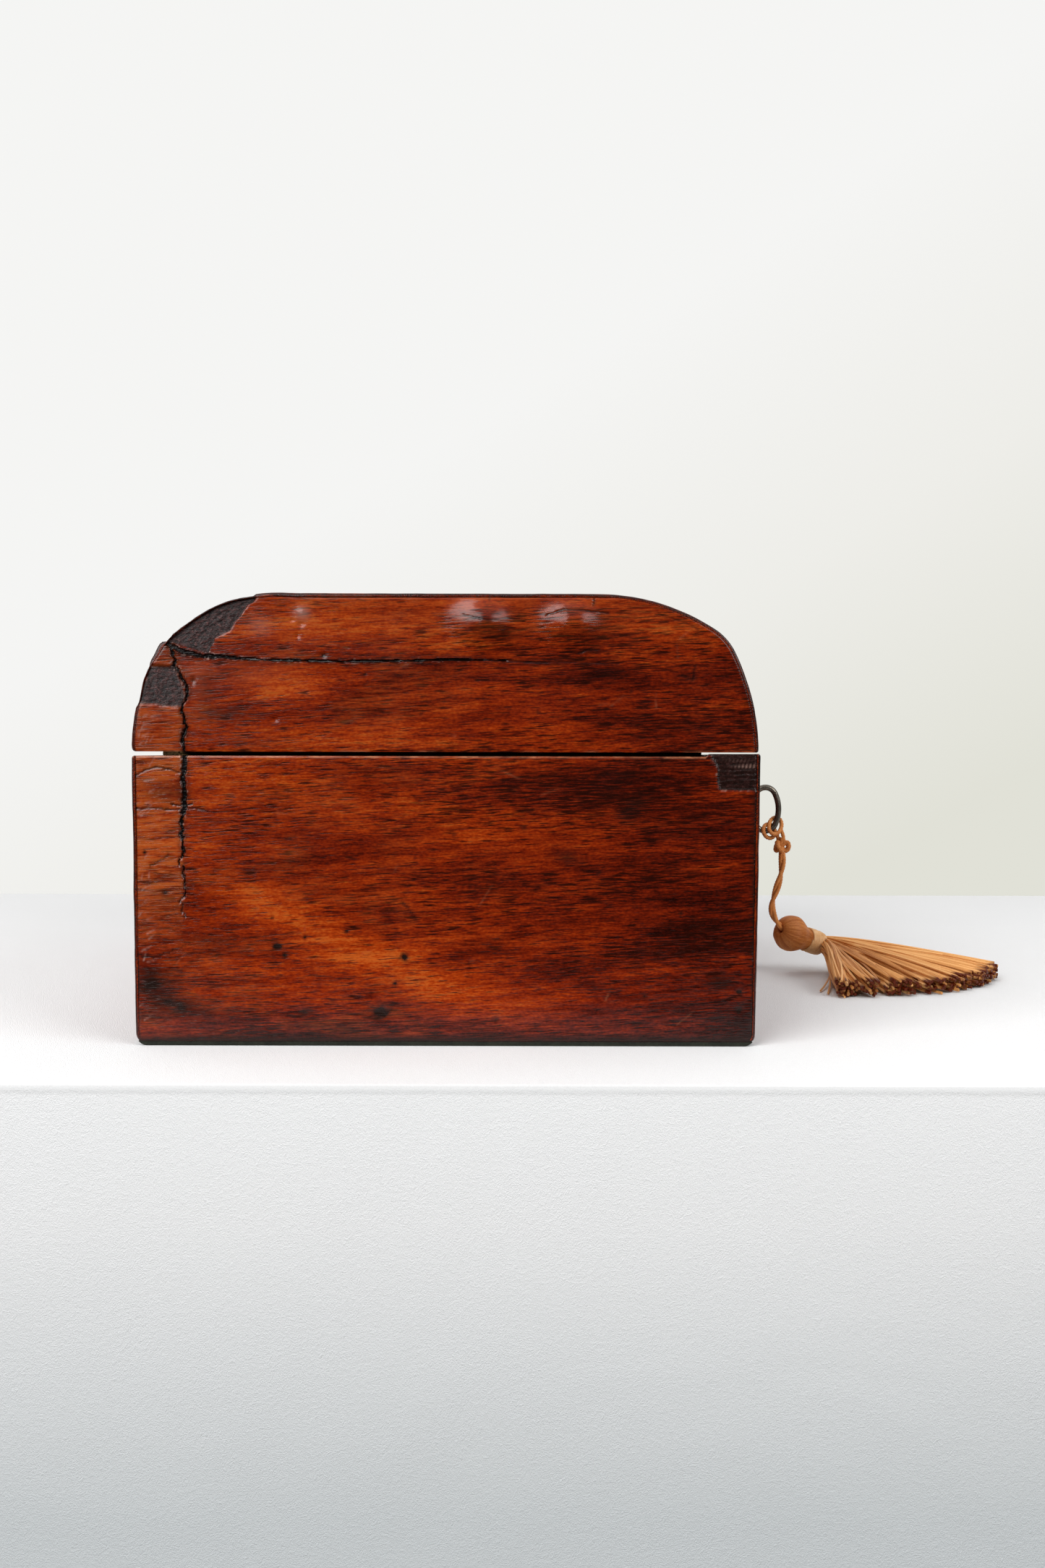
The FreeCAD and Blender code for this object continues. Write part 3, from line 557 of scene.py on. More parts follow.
def with_rows(outline, heights):
    """An outline with more rows at the given heights."""
    extra = np.stack([np.interp(heights, outline[:, 1], outline[:, 0]), heights], axis=1)
    both = np.vstack([outline, extra])
    both = both[np.argsort(both[:, 1])]
    return both[np.concatenate([[True], np.diff(both[:, 1]) > 0.04])]


PAINTED = ("tone_and_shade", "faded", "stain_and_shade", "wear_and_highlight", "bare", "blush", "chip_and_highlight", "crack")


def clear_marks(a):
    """Empty painted values for a face."""
    return {key: np.zeros_like(a) for key in PAINTED}


def raise_to(marks, key, value):
    """Raises a painted value to another where it is lower."""
    marks[key] = np.maximum(marks[key], value)


def groove(a, z, height, marks, route, width, depth, fade=(1.0, 1.0), seed=0, ragged=0.18):
    """Opens a crack along a route. Its width runs from its start to its end by the two fade shares."""
    jag_a = a + ragged * (rough(a / 0.9, z / 0.7, seed, 3) + 0.7 * noise(z / 0.8, 0 * z + seed, seed + 1))
    jag_z = z + ragged * rough(a / 0.7, z / 0.9, seed + 3, 3)
    distance, where = to_line(jag_a, jag_z, route)
    half = 0.5 * width * (fade[0] + (fade[1] - fade[0]) * where)
    half = half * (1 + 0.4 * noise(a / 1.7, z / 1.7, seed + 5))
    opening = (1 - smooth(0.7, 1.25, distance / np.maximum(half, 0.25))) * smooth(-0.06, 0.12, half)
    height -= depth * opening * np.clip(half / 0.25, 0.1, 1)
    raise_to(marks, "crack", opening * np.clip(0.45 + 2.0 * half, 0, 1))
    wide = smooth(0.18, 0.34, half)
    lip = bell(distance - half - 0.16, 0.17) * wide
    height += 0.05 * lip
    broken = lip * smooth(0.30, 0.75, noise(a / 0.55, z / 0.5, seed + 1)) * smooth(0.28, 0.46, half)
    raise_to(marks, "chip_and_highlight", 0.7 * broken * (1 - opening))
    shade = bell(distance, half + 0.7) * (0.35 + 0.65 * wide)
    raise_to(marks, "stain_and_shade", 0.42 * shade)


def strokes(a, z, height, marks, count, area, lengths, lean_deg, strength, seed, key="wear_and_highlight"):
    """Short straight scratches scattered over an area ((a, z) low and high corners)."""
    draws = np.random.default_rng(seed)
    (a0, z0), (a1, z1) = area
    for _ in range(count):
        sa, sz, length = draws.uniform(a0, a1), draws.uniform(z0, z1), draws.uniform(*lengths)
        lean = math.radians(draws.normal(*lean_deg))
        end = (sa + length * math.cos(lean), sz + length * math.sin(lean))
        distance, where = to_line(a, z, ((sa, sz), end))
        line = bell(distance, 0.2) * (1 - 0.7 * where) * draws.uniform(0.4, 1.0)
        height -= 0.06 * line
        raise_to(marks, key, strength * line)


def lost_veneer(a, z, height, marks, polygon, depth, seed, relief=0.14):
    """Sinks a patch where the veneer is gone, down to rough dark ground."""
    ragged_a = a + 0.25 * rough(a / 1.3, z / 1.3, seed)
    ragged_z = z + 0.25 * rough(a / 1.1, z / 1.4, seed + 2)
    inside = depth_inside(ragged_a, ragged_z, polygon)
    gone = smooth(-0.12, 0.12, inside)
    height -= gone * (depth + relief * rough(a / 1.1, z / 0.8, seed + 1, 3))
    raise_to(marks, "bare", gone)
    edge = bell(inside, 0.20)
    raise_to(marks, "crack", 0.8 * edge * smooth(-0.2, 0.4, noise(a / 2.0, z / 2.0, seed + 4)))
    paler = bell(inside + 0.3, 0.16) * smooth(0.2, 0.7, noise(a / 0.9, z / 0.8, seed + 2))
    raise_to(marks, "chip_and_highlight", 0.45 * paler)


def spots(a, z, height, marks, places, seed=0):
    """Small dark dents: (a, z, radius, darkness)."""
    for i, (sa, sz, radius, dark) in enumerate(places):
        wobble = 1 + 0.35 * noise(a / 0.8, z / 0.8, seed + i)
        blot = np.exp(-(((a - sa) ** 2 + ((z - sz) * 1.25) ** 2) / (radius * wobble) ** 2))
        raise_to(marks, "stain_and_shade", dark * blot)
        height -= 0.12 * dark * blot


CORNER_RISE = 0.66

# blobs on the body's left end: (amount, centre's a and z, radii along a and z, turn in degrees)
BODY_TONES = (
    (1.5, -38, 31, 32, 8.5, -24), (1.45, -4, 15, 36, 8.5, -20), (0.75, -10, 56, 36, 6.5, -4),
    (0.5, -34, 10, 18, 7, -10), (0.55, 62, 44, 14, 8, -8), (0.5, 44, 26, 26, 5, -8), (0.5, 66, 60, 10, 4, -5),
    (0.45, 34, 8, 26, 5, -10), (0.45, -8, 34, 26, 8, -20), (-0.85, 40, 60, 34, 8, -9),
    (-0.75, 58, 24, 24, 9, -14), (-0.15, 10, 40, 40, 6, -14), (-0.6, -36, 48, 26, 6, -8),
    (-0.5, -14, 66, 44, 3, 0), (-0.55, 64, 34, 14, 6, -10), (-0.5, 30, 16, 30, 5, -14),
)
BODY_SMOKE = ((0.66, -69.5, 14.5, 11, 6.5, -36), (0.50, -60, 8, 14, 4.5, -16))
BODY_STAINS = (
    (0.35, -67, 60, 9, 3.5, 0), (0.40, 28.9, 45.2, 6.5, 3.2, -12), (0.45, 44.1, 56.4, 6, 3.4, 40),
    (0.55, 65.3, 15.4, 4.5, 2.6, 0), (0.25, -56, 25, 9, 3, -8),
)
# cracks: (route, width, depth, shares of the width at its start and end, seed, raggedness)
BODY_CRACKS = (
    (((-62.3, 69.5), (-62.7, 64), (-62.3, 59), (-62.6, 55.5)), 1.25, 0.72, (1.0, 0.9), 2, 0.3),
    (((-62.6, 56), (-63.2, 51), (-62.7, 47), (-63.2, 43), (-62.2, 38.5), (-62.9, 35), (-62.4, 30.5)),
     0.75, 0.6, (1.0, 0.3), 5, 0.6),
)
# hair cracks: (route, width, seed)
BODY_HAIR_CRACKS = (
    (((-74.0, 64.2), (-71.5, 65.6), (-68.5, 66.3), (-65, 65.6), (-62.8, 64.6)), 0.34, 1),
    (((-75.0, 56.2), (-70, 56.5), (-65.5, 56.1), (-60.2, 56.5), (-57.5, 56.2)), 0.38, 3),
    (((-65.5, 57.4), (-62.5, 57.0), (-60.4, 57.6)), 0.45, 6),
    (((-74.0, 21.6), (-69.5, 20.9), (-66.0, 22.2), (-62.0, 23.9)), 0.30, 4),
    (((-70.3, 42.8), (-67.5, 44.3), (-66.2, 45.5)), 0.22, 2),
    (((-10.5, 34.2), (-8.8, 32.6), (-7.0, 30.2)), 0.22, 7),
)
# dark dents: (a, z, radius, darkness)
BODY_SPOTS = (
    (-40.1, 23.7, 1.1, 0.9), (-38.4, 21.6, 0.8, 0.9), (-15.4, 8.0, 1.9, 1.0), (-33.8, 8.0, 1.6, 0.55),
    (-9.9, 21.2, 1.1, 0.85), (69.9, 13.0, 0.7, 1.0), (69.9, 8.6, 0.8, 1.0), (-33.5, 25.8, 0.55, 0.8),
    (-41.3, 30.5, 0.5, 0.7), (-23.5, 27.3, 0.6, 0.7), (-12.0, 14.8, 0.6, 0.8), (18.5, 52.0, 0.7, 0.6),
    (2.0, 50.3, 0.5, 0.6), (-66.8, 36.5, 1.0, 0.6), (-71.8, 46.0, 0.5, 0.8), (-6.2, 58.6, 0.5, 0.5),
    (36.4, 41.2, 0.8, 0.5), (56.0, 31.5, 0.6, 0.6), (47.5, 12.0, 0.7, 0.6), (12.0, 6.2, 0.8, 0.6),
)
LOST_CORNER = ((62.2, 70), (64.6, 66.5), (64.9, 61.4), (70, 61.0), (76, 61.2), (76, 70))
TOOTHED = ((64, 70), (64.6, 61), (76, 61), (76, 70))


def body_end_marks(a, z):
    """Height and painted values of the body's left end, with its crack, stains and lost corner."""
    height = 0.10 * rough(a / 34, z / 22, 1) + 0.02 * rough(a / 9, z / 0.8, 4)
    marks = clear_marks(a)
    tone_and_shade = marks["tone_and_shade"]
    # the last term is painted shade: darker in the lowest 13 mm, offsetting the table's reflection there
    tone_and_shade += blobs(a, z, BODY_TONES) - 0.85 * smooth(10, 70, a) - 0.6 * (1 - smooth(5, 13, z))
    strip = 1 - smooth(-63.2, -61.8, a)
    marks["faded"] += strip * (0.62 * smooth(20, 44, z) - 0.25 * ellipse(a, z, (-66, 61), (14, 5)))
    marks["faded"] += 0.16 * smooth(-0.1, 0.6, rough(a / 12, z / 5, 6)) * (1 - smooth(-40, 40, a))
    tone_and_shade -= strip * blobs(a, z, ((0.5, -66, 61, 14, 5, 0), (0.4, -66, 15, 12, 10, 0)))
    height -= 0.18 * strip * smooth(25, 45, z)

    for crack in BODY_CRACKS:
        groove(a, z, height, marks, *crack)
    for route, width, seed in BODY_HAIR_CRACKS:
        groove(a, z, height, marks, route, width, 0.22, (0.8, 0.5), seed, 0.2)

    stain_and_shade = marks["stain_and_shade"]
    stain_and_shade += blobs(a, z, BODY_SMOKE) * (0.80 + 0.55 * rough(a / 3.5, z / 0.9, 9))
    # real stains, with painted shade along the rounded front edge at the right and in the lowest few
    # millimetres above the base
    stain_and_shade += blobs(a, z, BODY_STAINS) + 0.4 * smooth(71.5, 74.2, a) + 0.55 * (1 - smooth(1.2, 3.6, z))
    spots(a, z, height, marks, BODY_SPOTS)

    # the lost corner, whose ground has fine teeth and a pale hatching
    lost_veneer(a, z, height, marks, LOST_CORNER, 0.34, 3, 0.1)
    raise_to(marks, "stain_and_shade", 1.1 * marks["bare"])
    marks["bare"] = np.minimum(marks["bare"], 0.35 + 0.65 * (1 - smooth(56, 60, a)))
    teeth = np.sin(z * 5.2 + 1.5 * noise(a / 3, z / 3, 2))
    height += 0.05 * teeth * smooth(0.5, 1.5, depth_inside(a, z, TOOTHED))
    hatch = smooth(0.55, 0.9, np.sin(a * 7.0 + z * 2.5)) * ellipse(a, z, (71.5, 66.8), (5, 1.0), -6)
    raise_to(marks, "chip_and_highlight", 0.6 * hatch)

    strokes(a, z, height, marks, 26, ((-74.5, 6), (-70.5, 67)), (0.8, 2.6), (38, 22), 0.55, 5, "chip_and_highlight")
    strokes(a, z, height, marks, 12, ((-71, 12), (-63, 66)), (1.5, 5.0), (28, 20), 0.30, 6)
    strokes(a, z, height, marks, 12, ((-60, 5), (72, 66)), (1.5, 6.0), (60, 45), 0.30, 7)
    # a light line along the top rim: partly wear, partly a painted highlight on the rounded edge
    worn_and_highlit_top_edge = smooth(BODY_TOP - 0.62, BODY_TOP - 0.25, z)
    worn_and_highlit_top_edge = worn_and_highlit_top_edge * (0.35 + 0.65 * smooth(-0.4, 0.3, noise(a / 3.1, z * 0, 5)))
    raise_to(marks, "wear_and_highlight", 0.9 * worn_and_highlit_top_edge * (1 - smooth(61.5, 62.5, a)))
    marks["rise"] = CORNER_RISE * smooth(61.9, 62.6, a) * smooth(66, BODY_TOP, z)
    return height, marks


def swollen(z):
    """How far the lid's left end has swollen outward at its back, below the split."""
    return (0.62 + 0.40 * bell(z - 88.0, 2.6)) * smooth(69, 71.5, z) * (1 - smooth(91, 94.5, z))


def lifted(a):
    """How far the veneer over the split stands up from the dome, across the lid's left end."""
    return 1.15 * bell(a + 53, 8.5) + 0.25 * bell(a + 42, 5)


# blobs on the lid's left end, as on the body's; the last two are painted shade on the lower right flanks of
# the two big blisters
LID_TONES_AND_SHADE = (
    (0.75, -30, 101, 26, 6.5, 0), (1.15, -38, 86, 15, 5.5, -4), (0.4, -38, 75, 26, 4, 0),
    (0.55, 20, 84, 26, 4, -6), (0.65, 6, 96, 34, 3.5, 0), (0.45, 52, 92, 16, 6, -10), (0.1, -4, 74, 22, 4, 0),
    (0.35, 64, 84, 9, 8, 0), (-1.0, 48, 77, 30, 5.5, -6), (-0.75, 2, 89, 36, 3.6, -7),
    (-0.8, 36, 89, 26, 4.5, -12), (-0.7, 16, 98.5, 14, 2.6, 0), (-0.7, 42, 98, 14, 3.5, -20),
    (-0.5, -50, 95, 16, 2.5, 0), (-1.4, 13.0, 97.2, 8, 3.6, -8), (-1.3, 33.5, 97.0, 9, 3.4, -8),
)
LID_BLUSH = ((0.5, -59.2, 86, 4.2, 10, 0), (0.25, -46, 89, 12, 5, 0))
LID_STAINS = ((0.25, -57, 84, 3.5, 6, 0), (0.35, -53, 79, 10, 2.6, 0))
# pale spots: the first is partly a bloom and partly a painted highlight on a small blister, and the last two
# are painted highlights on the two big blisters
LID_PALE_SPOTS_AND_HIGHLIGHTS = (
    (0.42, -34.3, 102.9, 2.6, 2.4, 0), (0.16, -44.5, 99.5, 4, 3, 0), (0.10, 4.4, 102.6, 2.6, 4.2, 0),
    (0.05, 27.0, 104.4, 5.5, 2.0, 6),
)
BLISTERS = (
    (2.5, 9.0, 100.8, 9.0, 7.2, -4), (2.1, 30.0, 100.7, 9.4, 7.2, -4), (0.35, -34.2, 103.0, 2.4, 2.0, -4),
)
PITS = (
    (0.4, -34.8, 100.4, 1.2, 0.9, 0), (0.35, -29.5, 93.0, 0.8, 0.9, 0), (0.3, -60.3, 86.9, 0.7, 1.1, 0),
    (0.3, -40.7, 77.6, 0.9, 0.6, 0), (0.3, -35.5, 97.6, 0.7, 1.2, 0), (0.25, -36.9, 101.2, 1.4, 0.5, 0),
)
# the long split's lower edge, above which the veneer has sunk
SPLIT_A, SPLIT_Z = (-66, -59, -49, -26, -3, 12), (95.3, 92.8, 92.2, 91.6, 92.0, 92.2)
LID_CRACKS = (
    (((-70.0, 96.8), (-65.7, 95.2), (-62.0, 93.6), (-59.3, 92.9), (-54.0, 92.5), (-48.8, 92.2)),
     1.3, 0.75, (1.0, 0.55), 4, 0.25),
    (((-49.5, 92.2), (-43, 91.8), (-34, 91.7), (-26, 91.5), (-10, 91.7), (2, 92.0), (14, 91.8)),
     0.66, 0.6, (1.0, 0.75), 6, 0.12),
    (((-62.2, 69.5), (-62.7, 73), (-61.9, 76), (-62.9, 79.4), (-62.2, 82), (-61.8, 85.4), (-62.8, 88),
      (-64.6, 90.4), (-64.9, 92.5), (-65.6, 94.8)), 0.62, 0.65, (0.85, 1.2), 7, 0.5),
)
LID_HAIR_CRACKS = (
    (((-72.5, 90.6), (-69, 90.5), (-64.5, 90.3)), 0.35, 2),
    (((-70.2, 90.4), (-70.0, 88.2), (-69.6, 85.6)), 0.4, 5),
    (((14, 91.8), (20, 91.4), (30, 91.5), (41, 91.1)), 0.30, 1),
    (((24.0, 102.6), (28.0, 103.9), (33.0, 103.7), (38.5, 103.1)), 0.42, 1),
    (((31.5, 93.6), (33.5, 94.3), (36.5, 94.5)), 0.34, 2),
    (((4.0, 102.6), (7.0, 101.8), (9.6, 101.3), (12.5, 101.4)), 0.34, 4),
    (((35.2, 106.4), (35.0, 105.0)), 0.34, 2),
    (((50.5, 103.0), (56.5, 101.1), (60.0, 99.4)), 0.16, 3),
    (((10.4, 107.2), (10.3, 106.1)), 0.30, 6),
    (((56.2, 88.2), (58.8, 87.3), (59.3, 90.8)), 0.28, 4),
)
PATCH_OVER_SPLIT = (
    (-80, 96.2), (-64.6, 95.9), (-59.0, 93.9), (-56.8, 93.3), (-55.2, 97.0), (-51.6, 98.4), (-49.0, 101.6),
    (-47.3, 104.0), (-45.6, 105.4), (-44.2, 108.5), (-80, 108.5),
)
PATCH_UNDER_SPLIT = (
    (-80, 90.2), (-64.4, 90.1), (-62.6, 85.2), (-62.7, 80.8), (-66.7, 80.9), (-72.0, 81.7), (-80, 82.0),
)
VENEER_LEFT = ((-73.5, 92), (-73.5, 86.8), (-70.3, 86.8), (-70.3, 90.2), (-66, 90.4), (-66, 92))
LID_SPOTS = (
    (-29.2, 92.9, 0.6, 0.9), (-60.3, 86.9, 0.5, 0.8), (-19.4, 88.4, 0.4, 0.6), (7.4, 87.1, 0.5, 0.5),
    (22.0, 79.5, 0.6, 0.5), (-6.0, 79.0, 0.5, 0.5), (44.0, 84.5, 0.6, 0.5),
)


def lid_end_marks(a, z):
    """Height and painted values of the lid's left end, with its splits, lost veneer and blisters."""
    height = 0.10 * rough(a / 30, z / 16, 2) + 0.02 * rough(a / 9, z / 0.8, 5)
    height += blobs(a, z, BLISTERS) - blobs(a, z, PITS)
    marks = clear_marks(a)
    marks["tone_and_shade"] += blobs(a, z, LID_TONES_AND_SHADE) + 0.75 * smooth(93.5, 99, z) - 0.3 * smooth(25, 72, a)
    strip = 1 - smooth(-63.6, -61.6, a + 0.12 * (z - 78) * smooth(86, 96, z))
    uneven = smooth(-0.1, 0.6, rough(a / 12, z / 4, 6)) * (1 - smooth(-30, 20, a))
    marks["faded"] += 0.35 * strip + 0.16 * smooth(94, 101, z) + 0.22 * uneven
    marks["blush"] += blobs(a, z, LID_BLUSH)
    marks["stain_and_shade"] += blobs(a, z, LID_STAINS)
    marks["chip_and_highlight"] += blobs(a, z, LID_PALE_SPOTS_AND_HIGHLIGHTS)

    above = smooth(-0.3, 0.3, z - np.interp(a, SPLIT_A, SPLIT_Z))
    height -= 0.25 * above * (1 - smooth(-30, 8, a))
    for crack in LID_CRACKS:
        groove(a, z, height, marks, *crack)
    for route, width, seed in LID_HAIR_CRACKS:
        groove(a, z, height, marks, route, width, 0.2, (0.8, 0.5), seed, 0.15)
    lost_veneer(a, z, height, marks, PATCH_OVER_SPLIT, 0.42, 1, 0.17)
    lost_veneer(a, z, height, marks, PATCH_UNDER_SPLIT, 0.32, 5, 0.15)
    marks["bare"] *= 1 - 0.9 * smooth(-0.2, 0.4, depth_inside(a, z, VENEER_LEFT))
    spots(a, z, height, marks, LID_SPOTS)
    strokes(a, z, height, marks, 14, ((-73.5, 71), (-69.5, 81)), (0.8, 2.4), (48, 25), 0.6, 8, "chip_and_highlight")
    strokes(a, z, height, marks, 11, ((-58, 72), (66, 101)), (1.5, 5.0), (60, 45), 0.30, 9)
    marks["swell"] = swollen(z) * (1 - smooth(-70, -60, a))
    marks["rise"] = lifted(a) * smooth(95.5, 102.5, z)
    # a light line along the rim: partly wear, partly a painted highlight on the rounded edge
    worn_and_highlit_lid_rim = 1 - smooth(LID_BASE + 0.15, LID_BASE + 0.5, z)
    raise_to(marks, "wear_and_highlight", 0.5 * worn_and_highlit_lid_rim * smooth(0.1, 0.7, noise(a / 5, z * 0, 6)))
    return height, marks


PLAIN_SPOTS = (
    (-31, 40, 0.8, 0.7), (16, 22, 0.9, 0.7), (48, 84, 0.7, 0.6), (-12, 96, 0.8, 0.7), (-52, 12, 1.2, 0.8),
)


def plain_end_marks(seed):
    """Height and painted values of an end that has only light wear."""

    def marks_of(a, z):
        height = 0.10 * rough(a / 30 + seed, z / 18, seed) + 0.02 * rough(a / 9, z / 0.8, seed + 1)
        marks = clear_marks(a)
        marks["tone_and_shade"] += 0.7 * rough(a / 40 + 3 * seed, z / 11, seed + 2)
        route = [(ra, rz - 3 * seed) for ra, rz in ((20, 88), (34, 88.4), (47, 87.6))]
        groove(a, z, height, marks, route, 0.25, 0.2, (0.8, 0.3), seed)
        spots(a, z, height, marks, PLAIN_SPOTS, seed)
        return height, marks

    return marks_of


def end_face(name, cad_node, body, side, half_widths, heights, spread, marks_of):
    """A veneered end: a height field over rows of (half width, height), closed by a flat back."""
    rows, columns = len(heights), len(spread)
    a = half_widths[:, None] * spread[None, :]
    z = np.repeat(heights[:, None], columns, axis=1)
    height, marks = marks_of(a, z)
    to_side = half_widths[:, None] - np.abs(a)
    rim = np.minimum.reduce([to_side, z - heights[0], heights[-1] - z])
    eased = 1 - smooth(0, 0.45, rim)
    height = np.maximum(height, -VENEER + 0.06) - 0.14 * eased
    marks["stain_and_shade"] = np.clip(marks["stain_and_shade"] + 0.45 * (1 - smooth(0.05, 0.5, to_side)), 0, 1)
    z = z + marks.pop("rise", 0 * z)
    a = a - marks.pop("swell", 0 * a)
    outer_x = side * (END_X + np.maximum(height, -VENEER + 0.05))
    front = np.stack([outer_x, -a, z], axis=-1).reshape(-1, 3)
    loop = border(rows, columns)
    back = front[loop].copy()
    back[:, 0] = side * (END_X - VENEER)
    first = rows * columns
    count = len(loop)
    faces = grid_faces(rows, columns, flip=side > 0)
    for i, index in enumerate(loop):
        after = (i + 1) % count
        quad = [index, first + i, first + after, loop[after]]
        faces.append(quad[::-1] if side > 0 else quad)
    cap = [first + i for i in range(count)]
    faces.append(cap if side > 0 else cap[::-1])
    points = np.vstack([front, back])
    return piece(name, points, faces, WALNUT_END, body, [cad_node], marks)


def end_faces():
    """The four veneered ends. The left pair carries the marks that show."""
    fine = stations(-1, 1, 0.006, fine=((-0.985, -0.80),), fine_step=0.0024)
    plain = stations(-1, 1, 0.012)
    fine_spans = ((55.2, 57.8), (63.2, 66.8), (68.2, 69))
    rows = stations(BAIZE, BODY_TOP, 0.42, fine=fine_spans, fine_step=0.2)
    inner = body_half_width(rows) - VENEER
    end_face("left_body_end_face", "left_end_veneer", "caddy_body", -1, inner, rows, fine, body_end_marks)
    rows = stations(BAIZE, BODY_TOP, 0.9)
    inner = body_half_width(rows) - VENEER
    marks = plain_end_marks(1)
    end_face("right_body_end_face", "right_end_veneer", "caddy_body", 1, inner, rows, plain, marks)
    widths, heights = with_rows(dome_outline(VENEER, 0.42), np.arange(90.8, 97.2, 0.2)).T
    end_face("left_lid_end_face", "lid_left_end_veneer", "lid", -1, widths, heights, fine, lid_end_marks)
    widths, heights = dome_outline(VENEER, 0.9).T
    marks = plain_end_marks(2)
    end_face("right_lid_end_face", "lid_right_end_veneer", "lid", 1, widths, heights, plain, marks)


end_faces()


# ---------------------------------------------------------------- long veneers
RECESS = 1.0


def swept_sheet(name, cad_node, body, profile, normals, xs, dent, raised):
    """A bent sheet along X, closed behind. profile runs so that outside is to its left, seen from +X.

    dent gives the outside's height, and raised how far the whole sheet is moved up, at each x and
    place along the profile.
    """
    lengths = distances_along(profile)
    rows, columns = len(xs), len(profile)
    x = np.repeat(xs[:, None], columns, axis=1)
    u = np.repeat(lengths[None, :], rows, axis=0)
    height, marks = dent(x, u, lengths[-1])
    spot = np.repeat(profile[None], rows, axis=0)
    outward = np.repeat(normals[None], rows, axis=0)
    spot[:, :, 0] += marks.pop("swell", 0)
    spot[:, :, 1] += raised(x, u, lengths[-1])
    surface = spot + outward * height[:, :, None]
    outer = np.stack([x, surface[:, :, 0], surface[:, :, 1]], axis=-1).reshape(-1, 3)
    under = spot - outward * (VENEER - 0.01)
    inner = np.stack([x, under[:, :, 0], under[:, :, 1]], axis=-1).reshape(-1, 3)
    loop = border(rows, columns)
    first, count = rows * columns, len(loop)
    at = {index: first + i for i, index in enumerate(loop)}
    faces = grid_faces(rows, columns)
    for i, index in enumerate(loop):
        after = loop[(i + 1) % count]
        faces.append([index, at[index], at[after], after])
    last = (rows - 1) * columns
    for c in range(1, columns - 2):
        faces.append([at[c + 1], at[c], at[last + c], at[last + c + 1]])
    near = [at[r * columns] for r in range(rows)]
    far = [at[r * columns + columns - 1] for r in range(rows - 1, -1, -1)]
    faces.append([at[1], *near, at[last + 1]])
    faces.append([at[last + columns - 2], *far, at[columns - 2]])
    points = np.vstack([outer, inner[loop]])
    return piece(name, points, faces, WALNUT_LONG, body, [cad_node], marks)


def eased_edge(distance, radius):
    """How far a rounded edge falls below the face at a distance from it."""
    t = np.clip(1 - distance / radius, 0, 1)
    return radius * (1 - np.sqrt(1 - 0.98 * t * t))


def sheet_marks(x, u, length, seed, edge_radius, far_radius):
    """The light wear and slow waviness of a long veneer, with eased and dinged edges, painted shade on its
    rounded ends, and a darker lower edge.
    """
    height = 0.09 * rough(x / 42, u / 17, seed) + 0.02 * rough(x / 7, u / 0.9, seed + 2)
    marks = clear_marks(x)
    marks["tone_and_shade"] += 0.75 * rough(x / 60, u / 14, seed + 1) + 0.1
    ends = END_X - np.abs(x)
    ding = 1 + 0.9 * np.clip(rough(x / 5.5, u / 5.5, seed + 3), -0.6, 1)
    for distance, radius in ((ends, 0.55), (u, edge_radius), (length - u, far_radius)):
        height = height - eased_edge(distance, radius * ding)
    marks["wear_and_highlight"] = 0.6 * (1 - smooth(0.1, 1.0, u)) * smooth(-0.2, 0.5, noise(x / 4, u / 4, seed + 4))
    cloudy = smooth(0.25, 0.8, rough(x / 26, u / 9, seed + 5))
    # darker along the far edge, which is the lower one, and cloudy stains
    marks["stain_and_shade"] = 0.45 * (1 - smooth(0.2, 2.5, length - u)) + 0.4 * cloudy
    # painted shade on the rounded ends
    raise_to(marks, "stain_and_shade", 0.55 * (1 - smooth(0.1, 0.8, ends)))
    return height, marks


def long_stations(steps):
    """Places along X, with a pair at each end of the hinge recesses, so that those are square."""
    span = [corner_mm("right_hinge_body_leaf", i)[0] for i in (0, 1)]
    jumps = [s * e for s in (-1, 1) for e in span]
    edges = sorted([-END_X, END_X] + [j - 0.02 for j in jumps] + [j + 0.02 for j in jumps])
    xs = [edges[0]]
    for a, b in zip(edges, edges[1:]):
        xs += list(np.linspace(a, b, max(1, round((b - a) / steps)) + 1)[1:])
    rounded = [END_X - d for d in (0.12, 0.3, 0.5, 0.8)]
    return np.array(sorted(set(xs) | set(rounded) | {-r for r in rounded}))


def at_hinges(x):
    low, high = (corner_mm("right_hinge_body_leaf", i)[0] for i in (0, 1))
    return ((np.abs(x) > low) & (np.abs(x) < high)).astype(float)


WALL_NORMAL = (1.0, -0.017)


def side_profile():
    """The body's side from the rim down to the rounded foot, for the back, as (y, z) and normals."""
    rim = [BODY_TOP - d for d in (0, 0.15, 0.35, 0.6)]
    down = np.concatenate([rim, np.linspace(BODY_TOP - 1.2, BASE_ROUND, 74)])
    wall = np.stack([body_half_width(down), down], axis=1)
    turns = np.linspace(0, math.asin((BASE_ROUND - BAIZE) / BASE_ROUND), 7)[1:]
    centre = body_half_width(BASE_ROUND) - BASE_ROUND
    outward = np.stack([np.cos(turns), -np.sin(turns)], axis=1)
    foot = (centre, BASE_ROUND) + BASE_ROUND * outward
    normals = np.concatenate([np.repeat([WALL_NORMAL], len(wall), axis=0), outward])
    return np.concatenate([wall, foot]), normals


